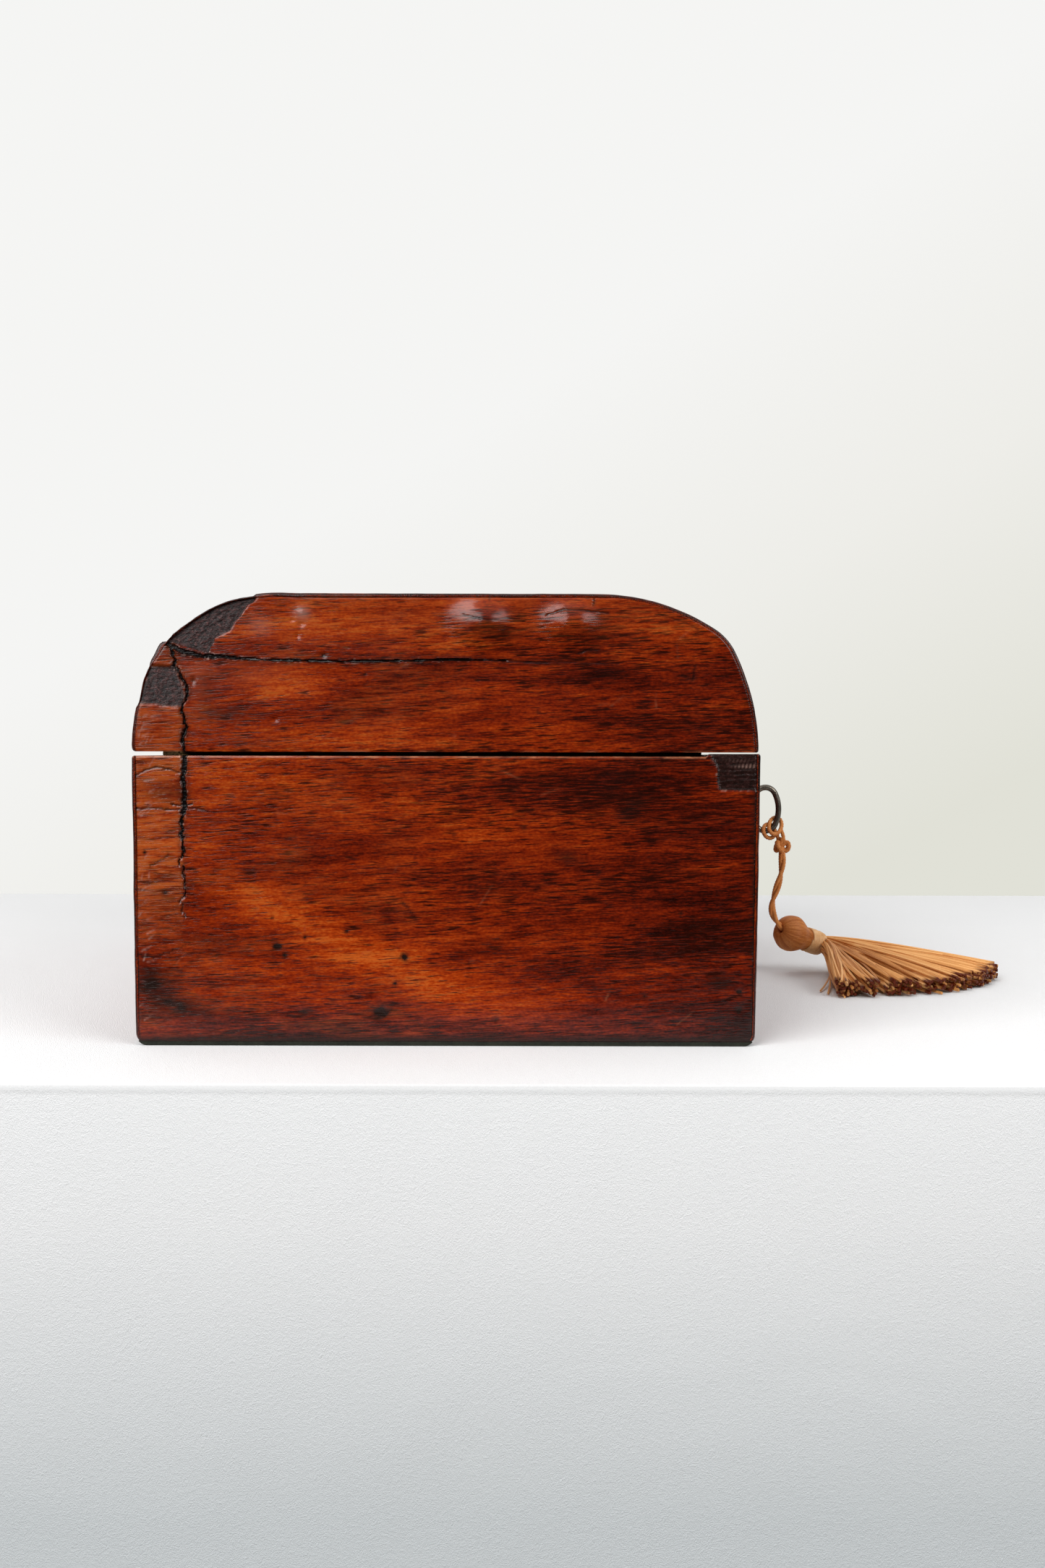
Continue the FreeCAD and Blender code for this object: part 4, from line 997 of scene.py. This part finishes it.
def crown_profile():
    """The whole dome from the back rim over the crown to the front rim, with outward normals."""
    half = dome_outline(0.0, 0.8)
    rim = np.array([[LID_HALF - 0.0002 * d, LID_BASE + d] for d in (0.0, 0.15, 0.35)])
    half = np.concatenate([rim, half[half[:, 1] > LID_BASE + 0.5]])
    flat = np.stack([np.linspace(CROWN_FLAT, -CROWN_FLAT, 61)[1:-1], np.full(59, CROWN)], axis=1)
    profile = np.concatenate([half, flat, half[::-1] * (-1, 1)])
    tangent = np.gradient(profile, axis=0)
    normals = np.stack([tangent[:, 1], -tangent[:, 0]], axis=1)
    return profile, normals / np.hypot(*normals.T)[:, None]


SPLIT_U = 28.2
# where lost veneer shows beside the split: (from, to, reach along X)
BARE_STRIPS = ((SPLIT_U + 0.6, SPLIT_U + 24, -101), (SPLIT_U - 17, SPLIT_U - 6.5, -108))
TOP_BLISTERS = ((0.9, -30, 95, 12, 8, 0), (0.7, 40, 70, 9, 7, 0), (0.6, -72, 120, 8, 6, 0))


def lid_top_dent(x, u, length):
    """The lid's bent veneer: lifted and split near the back shoulder, worn along its edges."""
    height, marks = sheet_marks(x, u, length, 1, 0.45, 0.45)
    left = 1 - smooth(-88, -46, x + 6 * noise(x / 8, u * 0, 3))
    from_split = u - SPLIT_U - 0.5 * rough(x / 6, x * 0, 6)
    depth = (0.15 + 0.55 * left) * bell(from_split, 0.35 + 0.45 * left)
    gape = (1 - smooth(-112, -104, x)) * np.exp(-(((from_split - 0.5) / 1.3) ** 4))
    depth = np.maximum(depth, (VENEER - 0.12) * gape)
    lip = smooth(-9, -0.6, from_split) * (1 - smooth(-0.6, 0.2, from_split))
    height = height - depth + 0.45 * left * lip
    raise_to(marks, "crack", np.clip(1.6 * depth, 0, 1) * smooth(0.1, 0.3, depth))
    for low, high, reach in BARE_STRIPS:
        ragged = reach + 4.5 * rough(u / 5, x / 9, 2)
        within = smooth(low - 0.3, low + 0.3, u) * (1 - smooth(high - 0.3, high + 0.3, u))
        gone = within * (1 - smooth(ragged - 0.3, ragged + 0.3, x))
        height = height - gone * (0.42 + 0.12 * rough(x / 1.2, u / 1.0, 3))
        raise_to(marks, "bare", gone)
    marks["swell"] = swollen(LID_BASE + u) * (1 - smooth(-112, -88, x))
    return np.maximum(height + blobs(x, u, TOP_BLISTERS), -VENEER + 0.1), marks


# places on the dome: how far round it from the back rim, and the same place across the end
ROUND_U, ACROSS_A = (28.2, 33.2, 42.4, 51.8, 62), (-67.0, -63.7, -54.7, -46.0, -36.0)


def lifted_along(u):
    """The same lift as on the end, by the distance round the dome from the back rim."""
    across = np.interp(u, ROUND_U, ACROSS_A)
    return lifted(across) * smooth(28.2, 36, u) * (1 - smooth(58, 66, u))


def front_dent(x, u, length):
    """The front veneer, black beside the end's lost corner."""
    height, marks = sheet_marks(x, u, length, 4, 0.75, 0.3)
    beside = (1 - smooth(-113.6, -111.5, x)) * (1 - smooth(7.6, 8.4, u))
    raise_to(marks, "stain_and_shade", 1.2 * beside)
    return height, marks


def long_veneers():
    """The front, the back and the lid's top. Returns the front, whose keyhole is still to be cut."""
    xs = long_stations(1.1)
    profile, normals = side_profile()

    def back_dent(x, u, length):
        return sheet_marks(x, length - u, length, 2, 0.75, 0.3)

    def back_raised(x, u, length):
        return -RECESS * at_hinges(x) * np.clip(1 - (length - u) / 6, 0, 1)

    def front_raised(x, u, length):
        return CORNER_RISE * (1 - smooth(-112, -98, x)) * np.clip(1 - u / 4, 0, 1)

    def lid_raised(x, u, length):
        recess = RECESS * at_hinges(x) * np.clip(1 - u / 6, 0, 1)
        return recess + lifted_along(u) * (1 - smooth(-110, -84, x))

    back = profile[::-1], normals[::-1]
    swept_sheet("back_face_veneer", "back_veneer", "caddy_body", *back, xs, back_dent, back_raised)
    front = profile * (-1, 1), normals * (-1, 1)
    shape = *front, xs, front_dent, front_raised
    face = swept_sheet("front_face_veneer", "front_veneer", "caddy_body", *shape)
    crown = crown_profile()
    swept_sheet("lid_crown_veneer", "lid_top_veneer", "lid", *crown, xs, lid_top_dent, lid_raised)
    return face


FRONT_FACE = long_veneers()
ESCUTCHEON_R = (corner_mm("escutcheon", 1)[0] - corner_mm("escutcheon", 0)[0]) / 2
SLOT_HALF = 2.2


def keyhole_outline(foot):
    """A keyhole's outline as (x, z), round at the top with a square slot below."""
    centre = corner_mm("escutcheon", 1)[2] - ESCUTCHEON_R
    start = -math.pi / 2 + math.asin(SLOT_HALF / ESCUTCHEON_R)
    turns = np.linspace(start, math.pi - start, 28)
    points = [(ESCUTCHEON_R * math.cos(t), centre + ESCUTCHEON_R * math.sin(t)) for t in turns]
    return points + [(-SLOT_HALF, foot), (SLOT_HALF, foot)]


def cut_keyhole(face):
    """Cuts the escutcheon's seat through the front veneer."""
    low, high = corner_mm("escutcheon", 0), corner_mm("escutcheon", 1)
    outline = keyhole_outline(low[2])
    y0, y1 = low[1] - 2, high[1] + 1
    count = len(outline)
    points = [(x, y, z) for y in (y0, y1) for x, z in outline]
    faces = [list(range(count)), list(range(2 * count - 1, count - 1, -1))]
    faces += [[i, count + i, count + (i + 1) % count, (i + 1) % count] for i in range(count)]
    cutter = added("keyhole_cutter", new_mesh("keyhole_cutter", points, faces))
    modifier = face.modifiers.new("seat", "BOOLEAN")
    modifier.object, modifier.operation, modifier.solver = cutter, "DIFFERENCE", "EXACT"
    apply_modifiers(face)
    bpy.data.objects.remove(cutter)


def apply_modifiers(made):
    """Keeps the result of a piece's modifiers as its mesh."""
    bpy.context.view_layer.update()
    result = bpy.data.meshes.new_from_object(made.evaluated_get(bpy.context.evaluated_depsgraph_get()))
    made.modifiers.clear()
    old, made.data = made.data, result
    bpy.data.meshes.remove(old)


cut_keyhole(FRONT_FACE)


# ---------------------------------------------------------------- cord and tassel
CORD_ROUTE = (
    (0.0, -99.1, 43.4),
    (0.1, -99.9, 37.6),
    (0.3, -99.5, 32.0),
    (0.7, -97.9, 26.6),
    (1.0, -96.4, 22.0),
    (1.5, -97.4, 17.8),
    (2.9, -100.2, 14.6),
    (4.6, -104.2, 13.2),
    (7.0, -107.6, 11.5),
    (9.5, -111.4, 9.8),
)
HEAD_CENTRE = np.array([5.0, -104.0, 12.5])
NECK = np.array([11.0, -113.9, 8.6])
STRAND_LENGTH = 54.0
DRAWS = np.random.default_rng(23)


def unit(v):
    v = np.asarray(v, float)
    return v / np.linalg.norm(v)


TASSEL_AXIS = unit(NECK - HEAD_CENTRE)


def resample(points, step):
    """Evenly spaced points along a polyline."""
    points = np.asarray(points, float)
    done = distances_along(points)
    at = np.linspace(0, done[-1], max(2, round(done[-1] / step) + 1))
    return np.stack([np.interp(at, done, points[:, k]) for k in range(3)], axis=1)


def spline_points(route, step, closed=False):
    """Points along the smooth NURBS line whose control points are the route."""
    curve = bpy.data.curves.new("route", "CURVE")
    curve.dimensions = "3D"
    curve.resolution_u = 24
    spline = curve.splines.new("NURBS")
    spline.points.add(len(route) - 1)
    for point, place in zip(spline.points, route):
        point.co = (*place, 1)
    spline.order_u = 3
    spline.use_endpoint_u = not closed
    spline.use_cyclic_u = closed
    holder = added("route", curve)
    bpy.context.view_layer.update()
    mesh = bpy.data.meshes.new_from_object(holder)
    points = np.array([v.co[:] for v in mesh.vertices])
    bpy.data.objects.remove(holder)
    bpy.data.curves.remove(curve)
    bpy.data.meshes.remove(mesh)
    return resample(np.vstack([points, points[:1]]) if closed else points, step)


def frames_along(points):
    """Two cross directions at each point that turn as little as they can along the line."""
    tangents = np.gradient(points, axis=0)
    tangents /= np.linalg.norm(tangents, axis=1)[:, None]
    side = unit(np.cross(tangents[0], (0.3, 0.2, 1.0)))
    sides = []
    for tangent in tangents:
        side = unit(side - tangent * side.dot(tangent))
        sides.append(side)
    sides = np.array(sides)
    return sides, np.cross(tangents, sides)


def tube(points, radii, around=10, ply=0.0, pitch=3.0, start_turn=0.0):
    """Points and faces of a closed tube. ply gives it twisted strands of that relief."""
    sides, ups = frames_along(points)
    done = distances_along(points)
    angles = np.linspace(0, 2 * np.pi, around, endpoint=False)
    radii = np.broadcast_to(radii, len(points))
    twist = 2 * np.pi * done / pitch + start_turn
    r = radii[:, None] * (1 - ply + ply * np.abs(np.cos(1.5 * (angles[None] - twist[:, None]))))
    ring = sides[:, None] * np.cos(angles)[None, :, None] + ups[:, None] * np.sin(angles)[None, :, None]
    made = (points[:, None] + ring * r[:, :, None]).reshape(-1, 3)
    return made, tube_faces(len(points), around)


class Bundle:
    """Gathers tubes into one mesh, with painted values."""

    def __init__(self):
        self.points, self.faces, self.values, self.count = [], [], {"lay_and_shade": [], "cut": []}, 0

    def add(self, points, faces, lay_and_shade, cut=0.0):
        self.faces += [[i + self.count for i in face] for face in faces]
        self.points.append(points)
        self.values["lay_and_shade"].append(np.broadcast_to(lay_and_shade, len(points)))
        self.values["cut"].append(np.broadcast_to(cut, len(points)))
        self.count += len(points)

    def finish(self, name, finish, body, slot, replaces=(), crease_deg=60):
        values = {key: np.concatenate(parts) for key, parts in self.values.items()}
        points = np.vstack(self.points)
        return piece(name, points, self.faces, finish, body, replaces, values, crease_deg)


def twin_strands(centre, spacing, pitch, start_turn=0.0):
    """Two lines that wind slowly round a centre line."""
    sides, ups = frames_along(centre)
    done = distances_along(centre)
    turn = (2 * np.pi * done / pitch + start_turn)[:, None]
    offset = spacing * (sides * np.cos(turn) + ups * np.sin(turn))
    return centre + offset, centre - offset


def make_cord():
    """The doubled cord from the knot to the tassel's neck."""
    centre = spline_points(CORD_ROUTE, 0.3)
    bundle = Bundle()
    for i, strand in enumerate(twin_strands(centre, 0.50, 17, 0.9)):
        points, faces = tube(strand, 0.68, 12, 0.18, 2.6, i * 1.3)
        bundle.add(points, faces, 0.45 + 0.2 * i + 0.25 * noise(points[:, 2] / 1.3, points[:, 1] / 1.1, i))
    cord = bundle.finish("twisted_cord", CORD_SILK, "tassel", "tassel_silk", ["tassel_cord"])
    return cord, centre


def make_knot():
    """The overhand knot that ties the loop under the bow."""
    middle, bundle = np.array([0.0, -99.35, 40.6]), Bundle()
    t = np.linspace(0, 2 * np.pi, 13)[:-1]
    across = 0.92 * (np.sin(t) + 1.4 * np.sin(2 * t))
    along = 1.05 * (np.cos(t) - 1.4 * np.cos(2 * t))
    trefoil = np.stack([across, along, 1.75 * np.sin(3 * t)], axis=1)
    line = spline_points(trefoil + middle, 0.25, closed=True)
    points, faces = tube(line, 0.85, 12, 0.2, 2.6)
    bundle.add(points, faces, 0.5 + 0.3 * noise(points[:, 2] / 1.2, points[:, 1], 2))
    for i, s in enumerate((-1, 1)):
        low = ((0.5 * s, 0.5 * s, 0.6), (0.5 * s, 0.75 * s, 2.2))
        high = ((0.45 * s, 0.9 * s + 0.5, 4.2), (0.3 * s, 1.0 * s + 1.2, 5.4))
        stem = spline_points(middle + np.array(low + high), 0.25)
        points, faces = tube(stem, 0.62, 12, 0.22, 2.6)
        bundle.add(points, faces, 0.55 + 0.1 * i)
    return bundle.finish("overhand_knot", CORD_SILK, "tassel", "tassel_silk", ["cord_knot"])


# the loops round the bow: (y, z, slope of the bow's wire there, radii)
CORD_LOOPS = ((-97.5, 47.1, 121, (3.5, 2.05)), (-95.6, 45.4, 150, (2.6, 2.25)))


def make_hitch():
    """The cord's loops round the lowest side of the bow."""
    bundle = Bundle()
    for i, (y, z, slope_deg, radii) in enumerate(CORD_LOOPS):
        wire = np.array([0, math.cos(math.radians(slope_deg)), math.sin(math.radians(slope_deg))])
        lengthways = 0.64 * np.array([1, 0, 0]) + 0.77 * wire
        crossways = np.cross((1, 0, 0), wire)
        t = np.linspace(0, 2 * np.pi, 17)[:-1, None]
        ring = radii[0] * np.cos(t) * lengthways + radii[1] * np.sin(t) * crossways
        ring = np.array([0, y, z]) + ring
        points, faces = tube(spline_points(ring, 0.25, closed=True), 0.68, 12, 0.22, 2.6, i)
        bundle.add(points, faces, 0.5 + 0.3 * noise(points[:, 2] / 1.1, points[:, 1], 4 + i))
    return bundle.finish("cord_loop", CORD_SILK, "key", "tassel_silk", ["cord_hitch"])


def about_axis(distance, radius, angle):
    """Points round the tassel's axis, measured from the head's centre towards the neck."""
    u = unit(np.cross(TASSEL_AXIS, (0, 0, 1)))
    v = np.cross(TASSEL_AXIS, u)
    distance, radius, angle = np.broadcast_arrays(distance, radius, angle)
    ring = np.cos(angle)[..., None] * u + np.sin(angle)[..., None] * v
    return HEAD_CENTRE + distance[..., None] * TASSEL_AXIS + radius[..., None] * ring


# the head's outline: distance from its centre towards the neck, and radius there
HEAD_ALONG = (-4.4, -5.2, -5.6, -5.55, -5.15, -4.45, -3.45, -2.25, -0.8, 0.5, 1.7, 2.8, 3.9, 5.0, 6.2, 7.8)
HEAD_RADII = (0.7, 1.0, 1.7, 2.5, 3.4, 4.3, 5.05, 5.6, 5.75, 5.5, 4.95, 4.35, 3.85, 3.5, 3.3, 3.1)


def make_head():
    """Silk laid lengthways over a round mould, with a dimple where the cord goes in."""
    path = resample(np.stack([HEAD_ALONG, HEAD_RADII, np.zeros(len(HEAD_RADII))], axis=1), 0.3)
    threads, around = 64, 320
    angles = np.linspace(0, 2 * np.pi, around, endpoint=False)
    drift = 0.25 * noise(path[:, :1] / 3, angles[None] * 4, 3)
    ridge = np.abs(np.sin(0.5 * threads * (angles[None] + 0.05 * path[:, :1]) + drift))
    depth = 0.16 * np.clip(path[:, 1:2] / 3, 0, 1)
    lumps = 0.10 * noise(angles[None] * 3 + 40, path[:, :1] / 5, 1)
    radii = path[:, 1:2] - depth * (1 - ridge) + lumps
    points = about_axis(path[:, :1], radii, angles[None]).reshape(-1, 3)
    # threads lighter on their crests and darker in the grooves between them: painted shade in the grooves
    lay_and_shade = 0.55 * ridge + 0.35 * noise(angles[None] * threads / 6.283, path[:, :1] / 4, 6) + 0.05
    bundle = Bundle()
    bundle.add(points, tube_faces(len(path), around), lay_and_shade.ravel())
    return bundle.finish("wound_head", HEAD_SILK, "tassel", "tassel_silk", ["tassel_head"])


def make_binding():
    """Fine silk wound round the neck in close turns, each a little uneven."""
    bundle = Bundle()
    start, end, turns = 5.7, 11.6, 11
    t = np.linspace(0, turns * 2 * np.pi, turns * 44)
    share = t / t[-1]
    slip = 0.06 * noise(t / 3, 0 * t, 2)
    radius = 3.30 + 0.30 * np.sin(np.pi * share) ** 0.5 + slip + 0.25 * (1 - smooth(0.0, 0.12, share))
    line = about_axis(start + (end - start) * share + 0.3 * slip, radius, t)
    points, faces = tube(line, 0.36, 8, 0.12, 1.4)
    bundle.add(points, faces, 0.55 + 0.25 * noise(points[:, 2], points[:, 0], 1))
    core_path = np.linspace(4.6, 12.0, 12)
    core = HEAD_CENTRE + core_path[:, None] * TASSEL_AXIS
    core_radii = np.interp(core_path, (4.6, 6, 11, 12), (3.0, 3.15, 3.15, 2.9))
    points, faces = tube(core, core_radii, 40)
    bundle.add(points, faces, 0.3)
    return bundle.finish("neck_binding", BINDING_SILK, "tassel", "binding_silk", ["tassel_binding"])


def bezier(controls, count):
    t = np.linspace(0, 1, count)[:, None]
    p0, p1, p2, p3 = (np.asarray(p, float) for p in controls)
    return (1 - t) ** 3 * p0 + 3 * (1 - t) ** 2 * t * p1 + 3 * (1 - t) * t * t * p2 + t**3 * p3


FAN_FROM_DEG, FAN_TO_DEG = 174.0, 263.0
STRANDS, LOCKS = 620, 34
STRAND_REST = 0.42
# single strands that lie apart from the fan: (turn in degrees, reach, bow)
STRAYS = ((171.5, 49, 3.0), (169.0, 45, 4.5), (176.0, 55.5, -2.5))


def strand_line(turn_deg, layer, reach, bow):
    """One fringe strand: out of the binding along the tassel, then round and down onto the table."""
    heading = np.array([math.cos(math.radians(turn_deg)), math.sin(math.radians(turn_deg)), 0.0])
    across = np.array([-heading[1], heading[0], 0.0])
    angle = DRAWS.uniform(0, 2 * np.pi)
    root = about_axis(np.array(11.0), np.array(2.3 * math.sqrt(DRAWS.uniform(0, 1))), np.array(angle))
    end = np.array([NECK[0], NECK[1], 0.0]) + heading * reach
    end[2] = STRAND_REST + layer * 4.3
    leave = root + TASSEL_AXIS * DRAWS.uniform(4.5, 8.0) + heading * 4.0
    leave[2] += 0.5 + 1.6 * layer
    middle = np.array([NECK[0], NECK[1], 0.0]) + heading * reach * 0.52 + across * bow
    middle[2] = 2.2 + 7.2 * layer
    line = bezier((root, leave, middle, end), 13)
    line[:, 2] = np.maximum(line[:, 2], STRAND_REST)
    return line


def make_skirt():
    """Several hundred fringe strands in locks, fanned over the table, with painted shade at their cut ends.
    """
    bundle = Bundle()
    locks = np.sort(DRAWS.uniform(FAN_FROM_DEG, FAN_TO_DEG, LOCKS))
    for _ in range(STRANDS):
        lock = DRAWS.integers(len(locks))
        layer = DRAWS.uniform(0, 1) ** 0.8
        turn = float(np.clip(locks[lock] + DRAWS.normal(0, 1.0), FAN_FROM_DEG, FAN_TO_DEG))
        reach = STRAND_LENGTH - 1.2 + DRAWS.normal(0, 0.45) + 1.1 * math.sin(lock * 2.1)
        line = strand_line(turn, layer, reach, DRAWS.normal(0, 1.2) + 2.6 * math.sin(lock * 1.7))
        share = np.linspace(0, 1, len(line))
        tip = line[-1] + np.outer((-0.045, -0.02), line[-1] - line[-2]) * len(line)
        line = np.vstack([line[:-1], tip, line[-1:]])
        share = np.concatenate([share[:-1], (0.962, 0.982), share[-1:]])
        radii = np.interp(share, (0, 0.10, 0.45, 1), (0.17, 0.24, 0.40, 0.45)) * DRAWS.uniform(0.85, 1.15)
        points, faces = tube(line, radii, 5)
        lay_and_shade = np.clip(0.5 + 0.28 * math.sin(lock * 2.9) + DRAWS.normal(0, 0.25), 0, 1)
        start = DRAWS.uniform(0.962, 0.998)
        # painted shade where the strands' cut ends lie close together
        cut = np.repeat(smooth(start, start + 0.012, share), 5)
        bundle.add(points, faces, lay_and_shade, cut)
    for turn, reach, bow in STRAYS:
        line = strand_line(turn, 0.02, reach, bow)
        points, faces = tube(line, np.linspace(0.2, 0.30, len(line)), 5)
        bundle.add(points, faces, 0.75)
    return bundle.finish("fringe_skirt", SILK, "tassel", "tassel_silk", ["tassel_skirt"])


def make_tassel():
    cord, centre = make_cord()
    knot, head, binding, skirt = make_knot(), make_head(), make_binding(), make_skirt()
    hitch = make_hitch()


make_tassel()


# ---------------------------------------------------------------- carried-over CAD nodes
FINISHES = {
    PINE_LONG: [
        "front_board", "back_board", "bottom_board", "lid_crown_board", "lid_front_rail", "lid_back_rail",
    ],
    PINE_DEEP: ["left_end_board", "right_end_board", "lid_left_end_rail", "lid_right_end_rail"],
    LINING_LONG: ["front_lining", "back_lining", "left_lid_rests", "right_lid_rests"],
    LINING_DEEP: ["left_lining", "right_lining", "compartment_divider", "left_inner_lid", "right_inner_lid"],
    HINGE_BRASS_TARNISH_AND_SHADE: [
        "left_hinge_body_leaf", "left_hinge_lid_leaf", "left_hinge_pin", "right_hinge_body_leaf",
        "right_hinge_lid_leaf", "right_hinge_pin", "hinge_screws_body", "hinge_screws_lid",
    ],
    BRASS: ["link_plate", "link_plate_screws", "lock_plate", "lock_case", "lock_screws", "escutcheon"],
    STEEL: ["key", "lock_bolt", "lock_pin", "lock_spring"],
    BAIZE_CLOTH: ["base_baize"],
    LINING_PAPER: ["lid_lining"],
    FOIL: ["left_foil_lining", "right_foil_lining"],
    BONE: ["left_inner_lid_knob", "right_inner_lid_knob"],
}
EASED_MM = {
    PINE_LONG: 0.15, PINE_DEEP: 0.15, LINING_LONG: 0.35, LINING_DEEP: 0.35,
    BRASS: 0.12, HINGE_BRASS_TARNISH_AND_SHADE: 0.12, BAIZE_CLOTH: 0.2,
}


def finish_cad_nodes():
    """Gives each carried-over node its finish, and eases its sharp edges."""
    for finish, names in FINISHES.items():
        for name in names:
            shape = nodes[name]
            shape.data.materials.clear()
            shape.data.materials.append(finish)
            if finish in EASED_MM:
                weld = shape.modifiers.new("weld", "WELD")
                weld.merge_threshold = 0.005 * MM
                ease = shape.modifiers.new("ease", "BEVEL")
                ease.width = EASED_MM[finish] * MM
                ease.segments = 2
                ease.limit_method = "ANGLE"
                ease.angle_limit = math.radians(50)
                ease.use_clamp_overlap = True


finish_cad_nodes()


# ---------------------------------------------------------------- stage, light and camera
TABLE_FRONT_X, TABLE_BACK_X, TABLE_HALF_Y, TABLE_DROP = -158.0, 272.0, 2600.0, 620.0
FOLD_RADIUS = 1.6


# painted shade on the cloth: its brightness by how far it hangs below the table's top, in units of 100 mm
SHADE_PAINTED_BY_DROP = (
    (0.0, 1.0), (0.0015, 0.72), (0.012, 0.78), (0.022, 0.99), (0.30, 0.93), (0.92, (0.67, 0.70, 0.71)),
)


def table_cloth():
    """Pale ribbed cloth: fine cords with a slow unevenness, and painted shade by how far it hangs down."""
    made, tree, shader = material("ribbed_cloth", Roughness=0.9, Specular_IOR_Level=0.15)
    ribs = cloud(tree, placed(tree, (950, 950, 950)), detail=2)
    weave = node(tree, "TexVoronoi", {"Vector": placed(tree, (700, 1100, 700))}, feature="F1").outputs[0]
    slow = cloud(tree, placed(tree, (9, 7, 9)), detail=3, distortion=0.8)
    shade = times_plus(tree, slow, 0.05, times(tree, weave, 0.10))
    colour = ramp(tree, shade, ((0.0, (0.84, 0.84, 0.84)), (0.12, (0.78, 0.785, 0.79))))
    # painted shade: darker where the fold faces the light, and dimmer further down
    drop = times(tree, node(tree, "SeparateXYZ", {0: placed(tree, (1, 1, 1))}).outputs[2], -10.0)
    painted_shade = ramp(tree, drop, SHADE_PAINTED_BY_DROP)
    colour = mixed(tree, 1.0, colour, painted_shade, "MULTIPLY")
    colour_with(tree, shader, colour)
    height = times_plus(tree, slow, 14.0, calc(tree, "ADD", weave, ribs))
    bump(tree, shader, height, 0.35, 0.35)
    return made


def make_table():
    """The pale cloth-covered surface, which folds down in front."""
    turns = np.linspace(0, math.pi / 2, 6)
    inward = [FOLD_RADIUS * (1 - math.sin(t)) for t in turns]
    down = [FOLD_RADIUS * (math.cos(t) - 1) for t in turns]
    front = [(TABLE_FRONT_X + i, d) for i, d in zip(inward[::-1], down[::-1])]
    back = [(TABLE_BACK_X - i, d) for i, d in zip(inward, down)]
    profile = [(TABLE_FRONT_X, -TABLE_DROP), *front, *back, (TABLE_BACK_X, -TABLE_DROP)]
    points = [(x, y, z - 0.02) for y in (TABLE_HALF_Y, -TABLE_HALF_Y) for x, z in profile]
    mesh = new_mesh("table", points, grid_faces(2, len(profile), flip=True))
    mesh.materials.append(table_cloth())
    mesh.shade_smooth()
    added("table", mesh)


def area_light(name, place, target, size, watts, colour=(1, 1, 1)):
    data = bpy.data.lights.new(name, "AREA")
    data.shape, data.size, data.size_y = "RECTANGLE", size[0], size[1]
    data.energy, data.color = watts, colour
    light = added(name, data)
    light.location = place
    light.rotation_euler = (Vector(target) - Vector(place)).to_track_quat("-Z", "Y").to_euler()


WALL_TONES = ((0.0, (0.752, 0.752, 0.680)), (0.5, (0.855, 0.850, 0.812)), (1.0, (0.913, 0.913, 0.900)))


def make_world():
    """A pale room: an even off-white behind the object, and softer, dimmer light from around it."""
    world = bpy.data.worlds.new("room")
    world.use_nodes = True
    tree = world.node_tree
    tree.nodes.clear()
    direction = node(tree, "TexCoord").outputs["Generated"]
    parts = node(tree, "SeparateXYZ", {0: direction})
    level = times_plus(tree, parts.outputs[2], 2.35, times_plus(tree, parts.outputs[1], 1.4, 0.465))
    wall = ramp(tree, level, WALL_TONES)
    behind = ramp(tree, parts.outputs[0], ((0.0, 0.0), (0.7, 0.62)))
    above = ramp(tree, parts.outputs[2], ((0.30, 0.0), (0.75, 0.60)))
    glow = calc(tree, "ADD", calc(tree, "MAXIMUM", behind, above), 0.03)
    fill = node(tree, "Background", {"Color": (1.0, 0.995, 0.985, 1), "Strength": glow}).outputs[0]
    seen = node(tree, "Background", {"Color": wall, "Strength": 1.0}).outputs[0]
    camera_ray = node(tree, "LightPath").outputs["Is Camera Ray"]
    shown = node(tree, "MixShader", {0: camera_ray, 1: fill, 2: seen}).outputs[0]
    output = tree.nodes.new("ShaderNodeOutputWorld")
    tree.links.new(shown, output.inputs["Surface"])
    bpy.context.scene.world = world


CAMERA_PLACE = Vector((-478.0, -18.2, 70.0))
CAMERA_ROLL_DEG = -0.12
HORIZON_SHIFT = -0.0203
# where the lights point, in metres
LIT_MIDDLE = (0, 0, 0.05)


def make_camera():
    """Level with the lid's rim, square to the left end, with the horizon a little above the middle."""
    data = bpy.data.cameras.new("camera")
    data.lens, data.sensor_width, data.sensor_fit = 35, 36, "AUTO"
    data.shift_y = HORIZON_SHIFT
    data.clip_start = 0.01
    camera = added("camera", data)
    camera.location = CAMERA_PLACE * MM
    camera.rotation_euler = (math.pi / 2, math.radians(CAMERA_ROLL_DEG), -math.pi / 2)
    bpy.context.scene.camera = camera


make_table()
make_world()
make_camera()
area_light("window", (-1.35, 1.0, 0.95), LIT_MIDDLE, (1.5, 1.2), 38)
area_light("room", (-1.1, -1.3, 0.9), LIT_MIDDLE, (1.2, 0.8), 17)
area_light("overhead", (0.25, 0.1, 1.5), LIT_MIDDLE, (1.6, 1.6), 5.5)
bpy.context.scene.view_settings.view_transform = "Standard"
